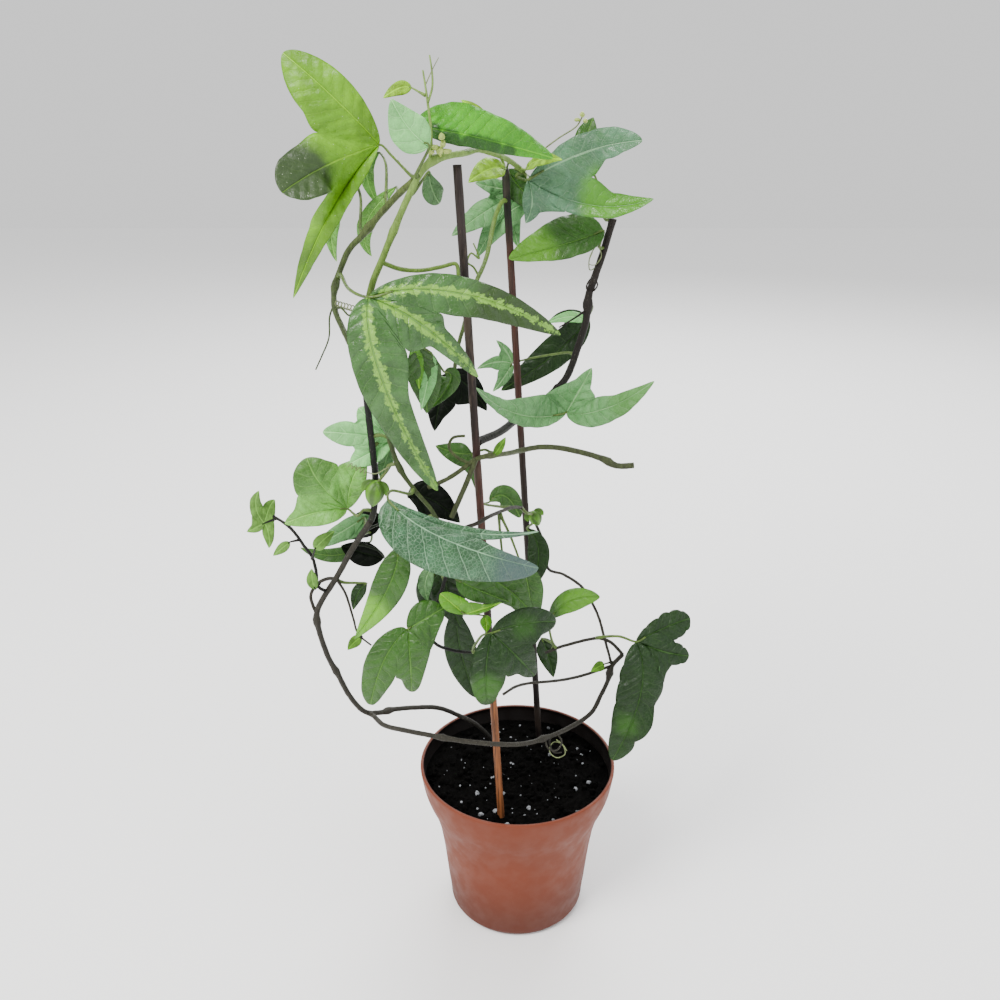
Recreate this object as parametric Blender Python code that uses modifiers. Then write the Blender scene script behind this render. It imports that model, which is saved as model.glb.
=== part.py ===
"""Potted passion flower vine: a nursery pot with two stakes, twining stems, lobed leaves and two buds.

Sizes are real sizes. Points in space are in millimetres from the centre of the pot's base:
x to the right, y away from the front, z up.
"""
import math
import random

import bmesh
import bpy
from mathutils import Vector

MM = 0.001

# Pot
POT_HEIGHT = 102.0
POT_RIM_RADIUS = 60.0
POT_BASE_RADIUS = 37.6
POT_WALL = 1.6
POT_FLOOR = 2.0
POT_SEGMENTS = 36
HEEL_RADIUS = 5.0
HEEL_STEPS = 3
WALL_PROFILE = ((20.0, 44.2), (44.0, 46.6), (60.0, 49.0), (72.0, 52.2), (84.0, 56.8), (93.0, 59.0), (102.0, 60.0))
DRAIN_HOLE_RADIUS = 4.0
DRAIN_RING_RADIUS = 24.0
DRAIN_HOLE_COUNT = 4

# Soil
SOIL_TOP = 92.0
SOIL_GAP = 0.3
SOIL_RINGS = 6
SOIL_SEGMENTS = 26
SOIL_ROUGHNESS = 1.2
HOLE_GAP = 0.35

# Stakes
STAKE_RADIUS = 2.05
STAKE_DEPTH = 34.0
STAKE_POINT = 0.7
STAKE_DETAIL = 4

# Leaves and stems
BLADE_THICKNESS = 0.8
PETIOLE_RADIUS = 0.85
SEAT_GAP = 0.3
SEAT_STRAIGHT = 4.0
STEM_STEP = 12.0
KEEL_REACH = 0.14
TIP_SPACING = 1.4
BUD_STEPS = 7
FACE_FRONT = (0.0, -0.9, 0.42)

SEED = 7

# Colours
TERRACOTTA = (0.34, 0.102, 0.052)
SOIL_BLACK = (0.012, 0.010, 0.009)
STAKE_BROWN = (0.20, 0.095, 0.055)
STEM_GREEN = (0.26, 0.36, 0.15)
STEM_OLIVE = (0.12, 0.15, 0.055)
STEM_BROWN = (0.10, 0.075, 0.045)
STEM_DARK = (0.030, 0.026, 0.022)
LEAF_BRIGHT = (0.19, 0.42, 0.045)
LEAF_MID = (0.085, 0.20, 0.070)
LEAF_GREY = (0.14, 0.28, 0.15)
LEAF_DARK = (0.028, 0.065, 0.024)
LEAF_MINT = (0.34, 0.54, 0.34)
BUD_GREEN = (0.30, 0.48, 0.08)

random.seed(SEED)


# Scene set-up
def clear_scene():
    """Remove every object that the file starts with."""
    for item in list(bpy.data.objects):
        bpy.data.objects.remove(item, do_unlink=True)


clear_scene()
PLANT = bpy.data.collections.new("passion_flower_vine")
CUTTERS = bpy.data.collections.new("cutters")
bpy.context.scene.collection.children.link(PLANT)
bpy.context.scene.collection.children.link(CUTTERS)


def material(name, colour, roughness=0.5):
    """Principled material of one colour."""
    made = bpy.data.materials.new(name)
    made.use_nodes = True
    shader = made.node_tree.nodes["Principled BSDF"]
    shader.inputs["Base Color"].default_value = (*colour, 1.0)
    shader.inputs["Roughness"].default_value = roughness
    return made


def vec(point):
    """Point in millimetres as a vector."""
    return Vector(point)


# Mesh helpers
def tidy_mesh(mesh):
    """Weld, triangulate and turn all faces outward."""
    work = bmesh.new()
    work.from_mesh(mesh)
    bmesh.ops.remove_doubles(work, verts=work.verts, dist=0.00001)
    bmesh.ops.triangulate(work, faces=work.faces)
    bmesh.ops.recalc_face_normals(work, faces=work.faces)
    work.to_mesh(mesh)
    work.free()
    return mesh


def evaluated_mesh(item):
    """Mesh of an object with its modifiers applied."""
    bpy.context.view_layer.update()
    graph = bpy.context.evaluated_depsgraph_get()
    return bpy.data.meshes.new_from_object(item.evaluated_get(graph))


def is_closed(mesh):
    """True where a mesh has faces and every edge joins two of them."""
    work = bmesh.new()
    work.from_mesh(mesh)
    closed = len(work.faces) > 0 and all(len(edge.link_faces) == 2 for edge in work.edges)
    work.free()
    return closed


def fuse(name, meshes, colour, roughness=0.5, smooth=True):
    """Join closed meshes into one body by a union and give it its own material."""
    host = bpy.data.objects.new(name, meshes[0])
    PLANT.objects.link(host)
    if len(meshes) > 1:
        group = bpy.data.collections.new(name + "_repeats")
        bpy.context.scene.collection.children.link(group)
        for index, mesh in enumerate(meshes[1:]):
            piece = bpy.data.objects.new(f"{name}_repeat_{index}", mesh)
            group.objects.link(piece)
        join = host.modifiers.new("join", "BOOLEAN")
        join.operation = "UNION"
        join.operand_type = "COLLECTION"
        join.collection = group
        join.solver = "EXACT"
        joined = evaluated_mesh(host)
        if not is_closed(joined):
            join.solver = "MANIFOLD"
            joined = evaluated_mesh(host)
        host.modifiers.clear()
        host.data = joined
        for piece in list(group.objects):
            bpy.data.objects.remove(piece, do_unlink=True)
        bpy.data.collections.remove(group)
    keep_largest(tidy_mesh(host.data))
    host.data.name = name
    host.data.materials.clear()
    host.data.materials.append(material(name + "_material", colour, roughness))
    if smooth:
        host.data.shade_smooth()
    return host


def keep_largest(mesh):
    """Drop loose scraps and keep the largest connected body."""
    work = bmesh.new()
    work.from_mesh(mesh)
    left = set(work.verts)
    islands = []
    while left:
        start = left.pop()
        island = {start}
        queue = [start]
        while queue:
            here = queue.pop()
            for edge in here.link_edges:
                other = edge.other_vert(here)
                if other in left:
                    left.discard(other)
                    island.add(other)
                    queue.append(other)
        islands.append(island)
    islands.sort(key=len, reverse=True)
    for island in islands[1:]:
        bmesh.ops.delete(work, geom=list(island), context="VERTS")
    work.to_mesh(mesh)
    work.free()


# Paths
def smooth_path(points, step=STEM_STEP):
    """Rounded line through the points, as positions with their share of the length."""
    knots = [vec(p) for p in points]
    if len(knots) == 2:
        return knots
    line = [knots[0]]
    last = len(knots) - 1
    for i in range(last):
        before = knots[max(i - 1, 0)]
        start = knots[i]
        end = knots[i + 1]
        after = knots[min(i + 2, last)]
        parts = max(1, round((end - start).length / step))
        for k in range(1, parts + 1):
            t = k / parts
            line.append(0.5 * (2 * start + (end - before) * t
                               + (2 * before - 5 * start + 4 * end - after) * t * t
                               + (3 * start - before - 3 * end + after) * t ** 3))
    return line


def tube(line, start_radius, end_radius, detail=1, swellings=(), point_radius=None):
    """Closed round tube along a line; swellings are joints as (share of length, extra radius)."""
    lengths = [0.0]
    for a, b in zip(line, line[1:]):
        lengths.append(lengths[-1] + (b - a).length)
    total = lengths[-1]
    path = bpy.data.curves.new("path", "CURVE")
    path.dimensions = "3D"
    path.bevel_depth = MM
    path.bevel_resolution = detail
    path.use_fill_caps = True
    spline = path.splines.new("POLY")
    spline.points.add(len(line) - 1)
    for point, here, length in zip(spline.points, line, lengths):
        share = length / total
        radius = start_radius + (end_radius - start_radius) * share
        for place, extra in swellings:
            radius += extra * math.exp(-((share - place) * total / 3.0) ** 2)
        if point_radius is not None and length == 0.0:
            radius = point_radius
        point.co = (here.x * MM, here.y * MM, here.z * MM, 1.0)
        point.radius = radius
    item = bpy.data.objects.new("path", path)
    CUTTERS.objects.link(item)
    mesh = evaluated_mesh(item)
    bpy.data.objects.remove(item, do_unlink=True)
    bpy.data.curves.remove(path)
    return tidy_mesh(mesh)


STEMS = {}


def nearest_on(stem, target):
    """Nearest point of a stem's centre line, with its direction and radius."""
    line, start_radius, end_radius = STEMS[stem]
    goal = vec(target)
    best = None
    for index, (a, b) in enumerate(zip(line, line[1:])):
        span = b - a
        share = max(0.0, min(1.0, (goal - a).dot(span) / span.length_squared))
        point = a + span * share
        distance = (goal - point).length
        if best is None or distance < best[0]:
            place = (index + share) / (len(line) - 1)
            best = (distance, point, span.normalized(), start_radius + (end_radius - start_radius) * place)
    return best[1], best[2], best[3]


def seat_on(stem, target, toward):
    """Two points that end a stalk square to a stem and a hair from its surface."""
    centre, direction, radius = nearest_on(stem, target)
    out = vec(toward) - centre
    out -= direction * out.dot(direction)
    out.normalize()
    seat = centre + out * (radius + SEAT_GAP)
    return seat + out * SEAT_STRAIGHT, seat


def stalk(points, radius, end_radius=None, stem=None, root=None, detail=0):
    """Tube along points; its last end is seated on a stem when one is named."""
    knots = [vec(p) for p in points]
    if stem:
        lead, seat = seat_on(stem, root or knots[-1], knots[-1])
        if (knots[-1] - lead).length < SEAT_STRAIGHT and len(knots) > 1:
            knots.pop()
        knots += [lead, seat]
    return tube(smooth_path(knots), radius, end_radius or radius, detail)


def tendril(points, radius=0.5, end_radius=0.35):
    """Thin tendril through points."""
    return tube(smooth_path(points, 4.0), radius, end_radius, 0)


# Leaves
def lobe(bend, tip, left, right, fold=(0, 0), wave=0.0, peak=0.85, blunt=0.8, cuts=0.0):
    """One lobe: where its midrib bends and ends, its half widths and its shape."""
    return {"bend": bend, "tip": tip, "left": left, "right": right, "fold": fold, "wave": wave,
            "peak": peak, "blunt": blunt, "cuts": cuts}


def midrib(base, part, t):
    """Point of a lobe's midrib and its direction at a share of its length."""
    start = vec(base)
    end = vec(part["tip"])
    middle = vec(part["bend"]) * 2 - (start + end) * 0.5
    point = start * (1 - t) ** 2 + middle * 2 * t * (1 - t) + end * t * t
    direction = (middle - start) * 2 * (1 - t) + (end - middle) * 2 * t
    return point, direction.normalized()


def lobe_point(base, part, face, t, side, reach):
    """Point of a lobe at a share of its length, on a side, at a share of its half width."""
    point, along = midrib(base, part, t)
    normal = vec(face)
    normal = (normal - along * normal.dot(along)).normalized()
    across = normal.cross(along)
    width = part["left"] if side > 0 else part["right"]
    profile = math.sin(math.pi * min(1.0, max(0.0, t)) ** part["peak"]) ** part["blunt"]
    width *= profile * (1.0 - part["cuts"] * (0.5 + 0.5 * math.cos(t * 22.0)))
    angle = math.radians(part["fold"][0] if side > 0 else part["fold"][1])
    offset = across * (side * math.cos(angle)) + normal * math.sin(angle)
    ripple = part["wave"] * math.sin(t * 17.0 + side * 1.3) * profile * reach ** 2
    arch = 0.10 * width * reach * (1.0 - reach)
    return point + offset * width * reach + normal * (ripple + arch)


def blade(base, lobes, face=FACE_FRONT, rows=7, columns=2, sinus=0.36):
    """Closed leaf blade: lobes in clockwise order from the front, joined from base to sinus."""
    work = bmesh.new()
    start = work.verts.new(vec(base) * MM)
    sinus_row = max(1, round(rows * sinus))
    grids = []
    for part in lobes:
        grid = []
        for row in range(1, rows):
            t = 1.0 - (1.0 - row / rows) ** TIP_SPACING
            cells = []
            for column in range(-columns, columns + 1):
                side = 1 if column < 0 else -1
                reach = abs(column) / columns
                cells.append(lobe_point(base, part, face, t, side, reach))
            grid.append(cells)
        grids.append(grid)
    for here, after in zip(grids, grids[1:]):
        for row in range(sinus_row):
            shared = (here[row][-1] + after[row][0]) * 0.5
            here[row][-1] = shared
            after[row][0] = shared
            for step in range(1, columns):
                share = step / columns
                centre = here[row][columns]
                here[row][columns + step] = centre.lerp(shared, share)
                centre = after[row][columns]
                after[row][columns - step] = centre.lerp(shared, share)
    seams = {}
    for index, (part, grid) in enumerate(zip(lobes, grids)):
        rows_of_verts = []
        for row, cells in enumerate(grid):
            line = []
            for column, cell in enumerate(cells):
                key = None
                if row < sinus_row and column == 0 and index > 0:
                    key = (index - 1, row)
                if row < sinus_row and column == 2 * columns and index < len(grids) - 1:
                    key = (index, row)
                if key in seams:
                    line.append(seams[key])
                    continue
                vert = work.verts.new(cell * MM)
                line.append(vert)
                if key is not None:
                    seams[key] = vert
            rows_of_verts.append(line)
        tip = work.verts.new(vec(part["tip"]) * MM)
        for column in range(2 * columns):
            work.faces.new((start, rows_of_verts[0][column], rows_of_verts[0][column + 1]))
            work.faces.new((rows_of_verts[-1][column + 1], rows_of_verts[-1][column], tip))
        for low, high in zip(rows_of_verts, rows_of_verts[1:]):
            for column in range(2 * columns):
                a, b = low[column], low[column + 1]
                c, d = high[column + 1], high[column]
                if column < columns:
                    work.faces.new((a, d, b))
                    work.faces.new((b, d, c))
                else:
                    work.faces.new((a, d, c))
                    work.faces.new((a, c, b))
    mesh = bpy.data.meshes.new("blade")
    work.to_mesh(mesh)
    work.free()
    item = bpy.data.objects.new("blade", mesh)
    CUTTERS.objects.link(item)
    solid = item.modifiers.new("thickness", "SOLIDIFY")
    solid.thickness = BLADE_THICKNESS * MM
    solid.offset = 0.0
    solid.use_even_offset = False
    closed = evaluated_mesh(item)
    bpy.data.objects.remove(item, do_unlink=True)
    bpy.data.meshes.remove(mesh)
    return tidy_mesh(closed)


def leaf_pieces(base, lobes, stem, root, via=(), face=FACE_FRONT, rows=7, columns=2, sinus=0.36,
                stalk_radius=PETIOLE_RADIUS, keel_lobe=0):
    """Blade and stalk of one leaf as closed meshes."""
    sheet = blade(base, lobes, face, rows, columns, sinus)
    keel = midrib(base, lobes[keel_lobe], KEEL_REACH)[0]
    points = [keel, vec(base), *[vec(p) for p in via]]
    if stem:
        return [sheet, stalk(points, stalk_radius * 0.8, stalk_radius, stem, root)]
    points.append(vec(root))
    return [sheet, stalk(points, stalk_radius * 0.8, stalk_radius)]


def leaf(name, base, lobes, stem, root, colour=LEAF_MID, extra=(), **shape):
    """One leaf as a part of its own."""
    pieces = leaf_pieces(base, lobes, stem, root, **shape)
    return fuse(name, [*pieces, *extra], colour, 0.42)


def side_leaf(base, lobes, root, **shape):
    """Small leaf whose stalk is sunk into the stem that it grows from."""
    shape.setdefault("rows", 4)
    shape.setdefault("columns", 1)
    return leaf_pieces(base, lobes, None, root, **shape)


# Pot and soil
def pot_radius(height):
    """Outer radius of the pot at a height: slight taper that flares under the rim."""
    low, low_radius = HEEL_RADIUS, POT_BASE_RADIUS + HEEL_RADIUS
    for high, high_radius in WALL_PROFILE:
        if height <= high:
            return low_radius + (high_radius - low_radius) * (height - low) / (high - low)
        low, low_radius = high, high_radius
    return POT_RIM_RADIUS


def lathe(name, profile, segments):
    """Closed body turned about the vertical axis from a profile of (radius, height)."""
    mesh = bpy.data.meshes.new(name)
    work = bmesh.new()
    verts = [work.verts.new((r * MM, 0.0, z * MM)) for r, z in profile]
    for a, b in zip(verts, verts[1:]):
        work.edges.new((a, b))
    work.to_mesh(mesh)
    work.free()
    item = bpy.data.objects.new(name, mesh)
    PLANT.objects.link(item)
    turn = item.modifiers.new("turn", "SCREW")
    turn.steps = segments
    turn.render_steps = segments
    turn.use_merge_vertices = True
    turn.merge_threshold = 0.00005
    turn.use_normal_calculate = False
    return item


def cutter(name, radius, low, high, centre, top_centre=None, sides=8):
    """Round cutter between two heights."""
    top = top_centre or centre
    line = [Vector((centre[0], centre[1], low)), Vector((top[0], top[1], high))]
    mesh = tube(line, radius, radius, max(1, sides // 2 - 2))
    item = bpy.data.objects.new(name, mesh)
    item.hide_render = True
    item.display_type = "WIRE"
    CUTTERS.objects.link(item)
    return item


def build_pot():
    """Thin plastic pot with a flared rim, rounded heel and drain holes."""
    heights = [height for height, _ in WALL_PROFILE]
    outer = [(pot_radius(height), height) for height in reversed(heights)]
    heel = []
    for k in range(0, HEEL_STEPS + 1):
        angle = math.pi / 2 * k / HEEL_STEPS
        heel.append((POT_BASE_RADIUS + HEEL_RADIUS * math.cos(angle), HEEL_RADIUS * (1.0 - math.sin(angle))))
    lip = [(POT_RIM_RADIUS - POT_WALL * 0.5, POT_HEIGHT + 0.5)]
    inner = [(pot_radius(height) - POT_WALL, height) for height in heights]
    floor = [(0.0, POT_FLOOR), (POT_BASE_RADIUS + 1.5, POT_FLOOR)]
    profile = [*floor, *inner, *lip, *outer, *heel, (0.0, 0.0)]
    item = lathe("pot", profile, POT_SEGMENTS)
    pot_mesh = tidy_mesh(evaluated_mesh(item))
    item.modifiers.clear()
    item.data = pot_mesh
    for k in range(DRAIN_HOLE_COUNT):
        angle = math.tau * (k + 0.5) / DRAIN_HOLE_COUNT
        place = (DRAIN_RING_RADIUS * math.cos(angle), DRAIN_RING_RADIUS * math.sin(angle))
        tool = cutter(f"drain_cutter_{k}", DRAIN_HOLE_RADIUS, -2.0, POT_FLOOR + 2.0, place)
        cut = item.modifiers.new(f"drain_{k}", "BOOLEAN")
        cut.operation = "DIFFERENCE"
        cut.object = tool
        cut.solver = "EXACT"
    item.data.materials.append(material("pot_material", TERRACOTTA, 0.55))
    item.data.shade_smooth()
    return item


def build_soil(holes):
    """Soil that fills the pot, with a crumbly top and plain holes for what stands in it."""
    bottom = POT_FLOOR + SOIL_GAP
    top_radius = pot_radius(SOIL_TOP) - POT_WALL - SOIL_GAP
    heights = [SOIL_TOP - 0.2, *[height for height, _ in reversed(WALL_PROFILE) if height < SOIL_TOP - 1.0]]
    profile = []
    for ring in range(0, SOIL_RINGS):
        profile.append((top_radius * ring / SOIL_RINGS, SOIL_TOP + 1.5))
    for height in heights:
        profile.append((pot_radius(height) - POT_WALL - SOIL_GAP - 0.25, height))
    profile.append((POT_BASE_RADIUS - 0.5, bottom))
    profile.append((0.0, bottom))
    item = lathe("soil", profile, SOIL_SEGMENTS)
    mesh = evaluated_mesh(item)
    item.modifiers.clear()
    for vert in mesh.vertices:
        radius = math.hypot(vert.co.x, vert.co.y) / MM
        if vert.co.z > (SOIL_TOP + 1.0) * MM and radius < top_radius - 3.0:
            vert.co.z += random.uniform(-SOIL_ROUGHNESS, SOIL_ROUGHNESS) * min(1.0, radius / 25.0) * MM
    item.data = tidy_mesh(mesh)
    for k, (radius, low, foot, head) in enumerate(holes):
        tool = cutter(f"soil_cutter_{k}", radius, low, SOIL_TOP + 14.0, foot, head, 10)
        cut = item.modifiers.new(f"hole_{k}", "BOOLEAN")
        cut.operation = "DIFFERENCE"
        cut.object = tool
        cut.solver = "EXACT"
    item.data.materials.append(material("soil_material", SOIL_BLACK, 0.95))
    item.data.shade_smooth()
    return item


# Stakes: foot at the soil and top, both at the stake's centre
STAKE_FRONT = ((-10, -40, 90), (-30, -42, 460))
STAKE_BACK = ((15, 39, 90), (-8, 48, 450))


def stake_line(stake, low):
    """Centre line of a stake carried down to a depth in the soil."""
    foot, top = vec(stake[0]), vec(stake[1])
    slope = (top - foot) / (top.z - foot.z)
    return [foot + slope * (low - foot.z), foot, top]


def build_stake(name, stake):
    """Round wooden stake with a pointed lower end."""
    start, foot, top = stake_line(stake, SOIL_TOP - STAKE_DEPTH)
    point = start + (start - foot).normalized() * 8.0
    STEMS[name] = ([start, foot, top], STAKE_RADIUS, STAKE_RADIUS)
    line = [point, start, foot, (foot + top) * 0.5, top]
    body = tube(line, STAKE_RADIUS, STAKE_RADIUS, STAKE_DETAIL, point_radius=STAKE_POINT)
    return fuse(name, [body], STAKE_BROWN, 0.7)


def hole_for(stake):
    """Hole in the soil that follows a stake."""
    low = SOIL_TOP - STAKE_DEPTH - 9.0
    line = stake_line(stake, low)
    high = line[1] + (line[2] - line[1]) * (13.0 / (line[2].z - line[1].z))
    return (STAKE_RADIUS + HOLE_GAP, low, tuple(line[0][:2]), tuple(high[:2]))


# Stems
def stem(name, points, start_radius, end_radius, swellings=(), start_on=None, end_on=None, detail=1):
    """Main tube of a stem; an end that is seated on another stem stops a hair from it."""
    knots = [vec(p) for p in points]
    if start_on:
        lead, seat = seat_on(start_on, knots[0], knots[1])
        knots[0] = seat
        if (knots[1] - lead).length > SEAT_STRAIGHT:
            knots.insert(1, lead)
    if end_on:
        lead, seat = seat_on(end_on, knots[-1], knots[-2])
        knots[-1] = seat
        if (knots[-2] - lead).length > SEAT_STRAIGHT:
            knots.insert(-1, lead)
    line = smooth_path(knots)
    STEMS[name] = (line, start_radius, end_radius)
    return tube(line, start_radius, end_radius, detail, swellings)


# Hole for the woody stem: radius, lowest height, place at the bottom and place above the soil
VINE_HOLE = (2.15, 62.0, (0.5, 31.5), (-21.1, 28.4))

build_pot()
build_soil([hole_for(STAKE_FRONT), hole_for(STAKE_BACK), VINE_HOLE])
build_stake("stake_front", STAKE_FRONT)
build_stake("stake_back", STAKE_BACK)

# Brown woody stem from the soil to the left, up to the height of the first bud
brown = stem("vine_brown", [
    (-1.5, 31.3, 66), (-9, 30.2, 81), (-16.7, 29.1, 97), (-26, 28, 109), (-38, 26, 118), (-50, 18, 129), (-63, 8, 136),
    (-75, -4, 143), (-82, -13, 147), (-90, -22, 154), (-97, -28, 169), (-102, -32, 186), (-106, -36, 200),
    (-109, -40, 219), (-109, -42, 231), (-104, -44, 242), (-96, -46, 255), (-87, -50, 272), (-76, -54, 290)],
    1.4, 1.6, swellings=((0.42, 0.9), (0.62, 0.6), (0.75, 0.8)))
side_loop = tube(smooth_path([
    (-97, -45, 253), (-102, -41, 251), (-108, -39, 247), (-112, -40, 240), (-109.5, -42, 231)]), 1.0, 0.9, 0)
fuse("vine_brown", [brown, side_loop], STEM_BROWN, 0.7)

# Green stem from there up behind the banded leaf and over both stakes
green = stem("vine_green", [
    (-75.6, -54.15, 290.8), (-74.2, -54, 294.6), (-73, -52, 303), (-71, -50, 314), (-73, -50, 337), (-74, -52, 358), (-74, -58, 384),
    (-69, -61, 408), (-64, -60, 420), (-60, -58, 429), (-55, -56, 440), (-50, -54, 450), (-46, -52, 457),
    (-41, -50, 462), (-35, -48, 464), (-26, -40, 465), (-21, -20, 465), (-15, 0, 462), (-9, 24, 458),
    (-4, 38, 454), (2, 46, 449)],
    1.7, 1.4, swellings=((0.06, 0.9), (0.5, 0.5), (0.62, 0.9)))
arch_parts = [
    *side_leaf((-8, 18, 453), [lobe((-16, 6, 454), (-26, -8, 449), 6, 6)], (-10, 22, 457.5)),
    *side_leaf((3, 38, 451), [lobe((9, 22, 457), (20, 10, 458), 4, 4, wave=0.6)], (0, 43, 451)),
    *side_leaf((-16, -12, 472), [lobe((-21, -10, 480), (-29, -8, 486), 3.2, 3.2)], (-17, -6, 463),
               face=(0.3, -0.9, 0.2)),
    *side_leaf((-49, -45, 492), [lobe((-54, -48, 492), (-61, -50, 488), 3.4, 3.0)], (-43, -48, 489)),
    tube(smooth_path([(-64, -60, 420), (-56, -55, 416), (-47, -53, 415), (-38, -50, 416), (-31, -48, 417),
                      (-30, -50, 411)]), 1.1, 0.9, 0),
    tendril([(-42, -50, 461), (-41, -50, 468), (-41, -50, 477), (-42, -49, 486), (-43, -47, 493),
             (-44, -45, 499)], 0.9, 0.4),
    tendril([(-42, -49, 486), (-40, -48, 492), (-40, -46, 498), (-41, -44, 505)], 0.6, 0.35),
]
fuse("vine_green", [green, *arch_parts], STEM_GREEN, 0.5)

# Olive stem of the left side, down to the leaf cluster at the front stake
olive = stem("vine_left", [
    (-46, -50, 457), (-50, -46, 453), (-56, -42, 448), (-66, -38, 438), (-75, -34, 428), (-82, -32, 421),
    (-87, -32, 411), (-89, -40, 403), (-88, -48, 396), (-84, -56, 390), (-80, -64, 385), (-73, -67, 372),
    (-66, -67, 350), (-60, -64, 325), (-52, -64, 311), (-44, -64, 300), (-38, -60, 283), (-38, -56, 264),
    (-42, -54, 248), (-47, -53, 234), (-48, -52, 223), (-44, -52, 217), (-37, -52, 214), (-29, -51, 212),
    (-21, -51, 212)],
    1.6, 0.8, swellings=((0.13, 0.9), (0.24, 0.7), (0.56, 0.7)), start_on="vine_green")
olive_parts = [
    tendril([(-88.5, -46, 398), (-91, -46, 392), (-92, -46, 382), (-96, -47, 373), (-99, -48, 367)]),
    tendril([(-88, -48, 396), (-84, -54, 398), (-80, -60, 396), (-77, -65, 398), (-74, -70, 397)], 0.55, 0.35),
]
fuse("vine_left", [olive, *olive_parts], STEM_OLIVE, 0.5)

# Woody ring around the pot's front, with the arcs on its right
ring = stem("vine_ring", [
    (-86, -22, 153), (-83, -28, 154), (-76, -40, 157), (-62, -52, 162), (-47, -58, 163), (-30, -60, 161),
    (-11, -56, 156), (3, -46, 149), (15, -34, 144), (29, -22, 142), (43, -14, 147), (49, -10, 157),
    (53, -8, 166), (55, -8, 176), (61, -8, 184)], 1.4, 1.3,
    swellings=((0.3, 0.6), (0.62, 0.8), (0.93, 1.2)), start_on="vine_brown")
ring_parts = [
    stem("arc_low", [(16, -6, 184), (24, -8, 189), (33, -8, 192), (40, -8, 194), (47, -8, 195), (54, -8, 192),
                     (61, -8, 184)], 0.9, 1.0, detail=0),
    stem("arc_front", [(-9, -49, 184), (-2, -40, 183), (6, -32, 180), (21, -22, 175), (36, -14, 173),
                       (54, -8, 176)], 0.8, 0.9, detail=0),
    stem("arc_high", [(7, 35, 256), (12, 38, 244), (17, 34, 232), (18, 24, 224), (27, 14, 225), (37, 4, 222),
                      (43, -2, 214), (47, -4, 205), (50, -8, 194.5), (53, -8, 184), (55, -8, 176)],
         0.9, 0.8, detail=0),
    *side_leaf((50, -12, 180), [lobe((47, -13, 179), (42, -14, 176), 3, 3)], (55, -8, 179)),
    tendril([(15, -34, 144), (17, -37, 139), (22, -36, 137), (25, -32, 140), (22, -29, 143), (18, -31, 140),
             (20, -35, 135), (25, -34, 134)], 0.6, 0.4),
]
fuse("vine_ring", [ring, *ring_parts], STEM_BROWN, 0.7)

# Dark woody stem at the upper right
woody = stem("vine_woody", [
    (51, 52, 424), (48, 52, 412), (45, 50, 402), (39, 46, 385), (38, 44, 375), (37, 44, 367), (33, 44, 353),
    (30, 42, 344), (26, 40, 336), (18, 35, 329), (12, 32, 325), (4, 23, 323), (-3, 6, 323), (-11, -18, 325),
    (-20, -39, 327)], 2.0, 2.1, swellings=((0.0, 0.3), (0.25, 1.0), (0.62, 1.2)), end_on="stake_front")
woody_parts = [
    tube(smooth_path([(39, 46, 384), (37, 43, 389), (40, 41, 394), (43, 42, 390), (41, 45, 386),
                      (44, 48, 394)], 4.0), 0.5, 0.4, 0),
    tendril([(38, 44, 376), (31, 40, 372), (22, 38, 367)], 0.7, 0.4),
    tube(smooth_path([(19, 35, 330), (21, 33, 335), (24, 31, 333), (24, 30, 328)], 3.0), 1.1, 0.8, 0),
]
fuse("vine_woody", [woody, *woody_parts], STEM_DARK, 0.7)

# Stem that wraps the front stake and ends in a cut
cut_stem = stem("vine_cut", [
    (-46, -60, 311), (-37, -54, 313), (-30, -49, 316), (-23, -45.1, 320), (-17, -45.4, 322), (-11, -38, 320),
    (-5, -22, 315), (0, -8, 311), (10, 0, 310), (21, 2, 309), (35, 2, 306), (46, 0, 303), (53, -2, 300),
    (62, -4, 301)], 1.1, 1.7, swellings=((0.26, 0.6), (0.9, 0.8)))
cut_parts = [
    tube(smooth_path([(-23, -45.4, 320), (-27, -51, 311), (-31, -56, 303), (-35, -58, 294)]), 1.4, 1.3, 0),
    *side_leaf((-14, -45, 322), [lobe((-11, -44, 326), (-8, -43, 331), 2.2, 2.2)], (-17, -45.4, 321.5)),
    tendril([(-26, -46.6, 318.5), (-32, -47.5, 322), (-36, -47, 327), (-34, -46.5, 332), (-28, -46.6, 333)], 0.9, 0.7),
]
fuse("vine_cut", [cut_stem, *cut_parts], STEM_OLIVE, 0.6)

# Thin green stem between the stakes
thin = stem("vine_thin", [
    (-11, 42, 434), (-13, 36, 428), (-15, 26, 421), (-18, 6, 410), (-23, -14, 401), (-28, -24, 385),
    (-32, -26, 371), (-34, -24, 357)], 1.2, 1.0, start_on="stake_back")
fuse("vine_thin", [thin,
                   tendril([(-21, -8, 403), (-24, -6, 408), (-27, -9, 411), (-25, -12, 416), (-21, -10, 413),
                            (-24, -7, 420)], 0.6, 0.4)], STEM_GREEN, 0.5)

# Stem that crosses between the stakes to the second bud
mid = stem("vine_mid", [
    (-39, -60, 290), (-33, -56, 286), (-28, -52, 286), (-22, -49, 287), (-17, -44, 288), (-11, -26, 283),
    (-4, -6, 277), (2, 14, 268)], 1.1, 0.9, start_on="vine_left")
fuse("vine_mid", [mid], STEM_BROWN, 0.6)

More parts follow.
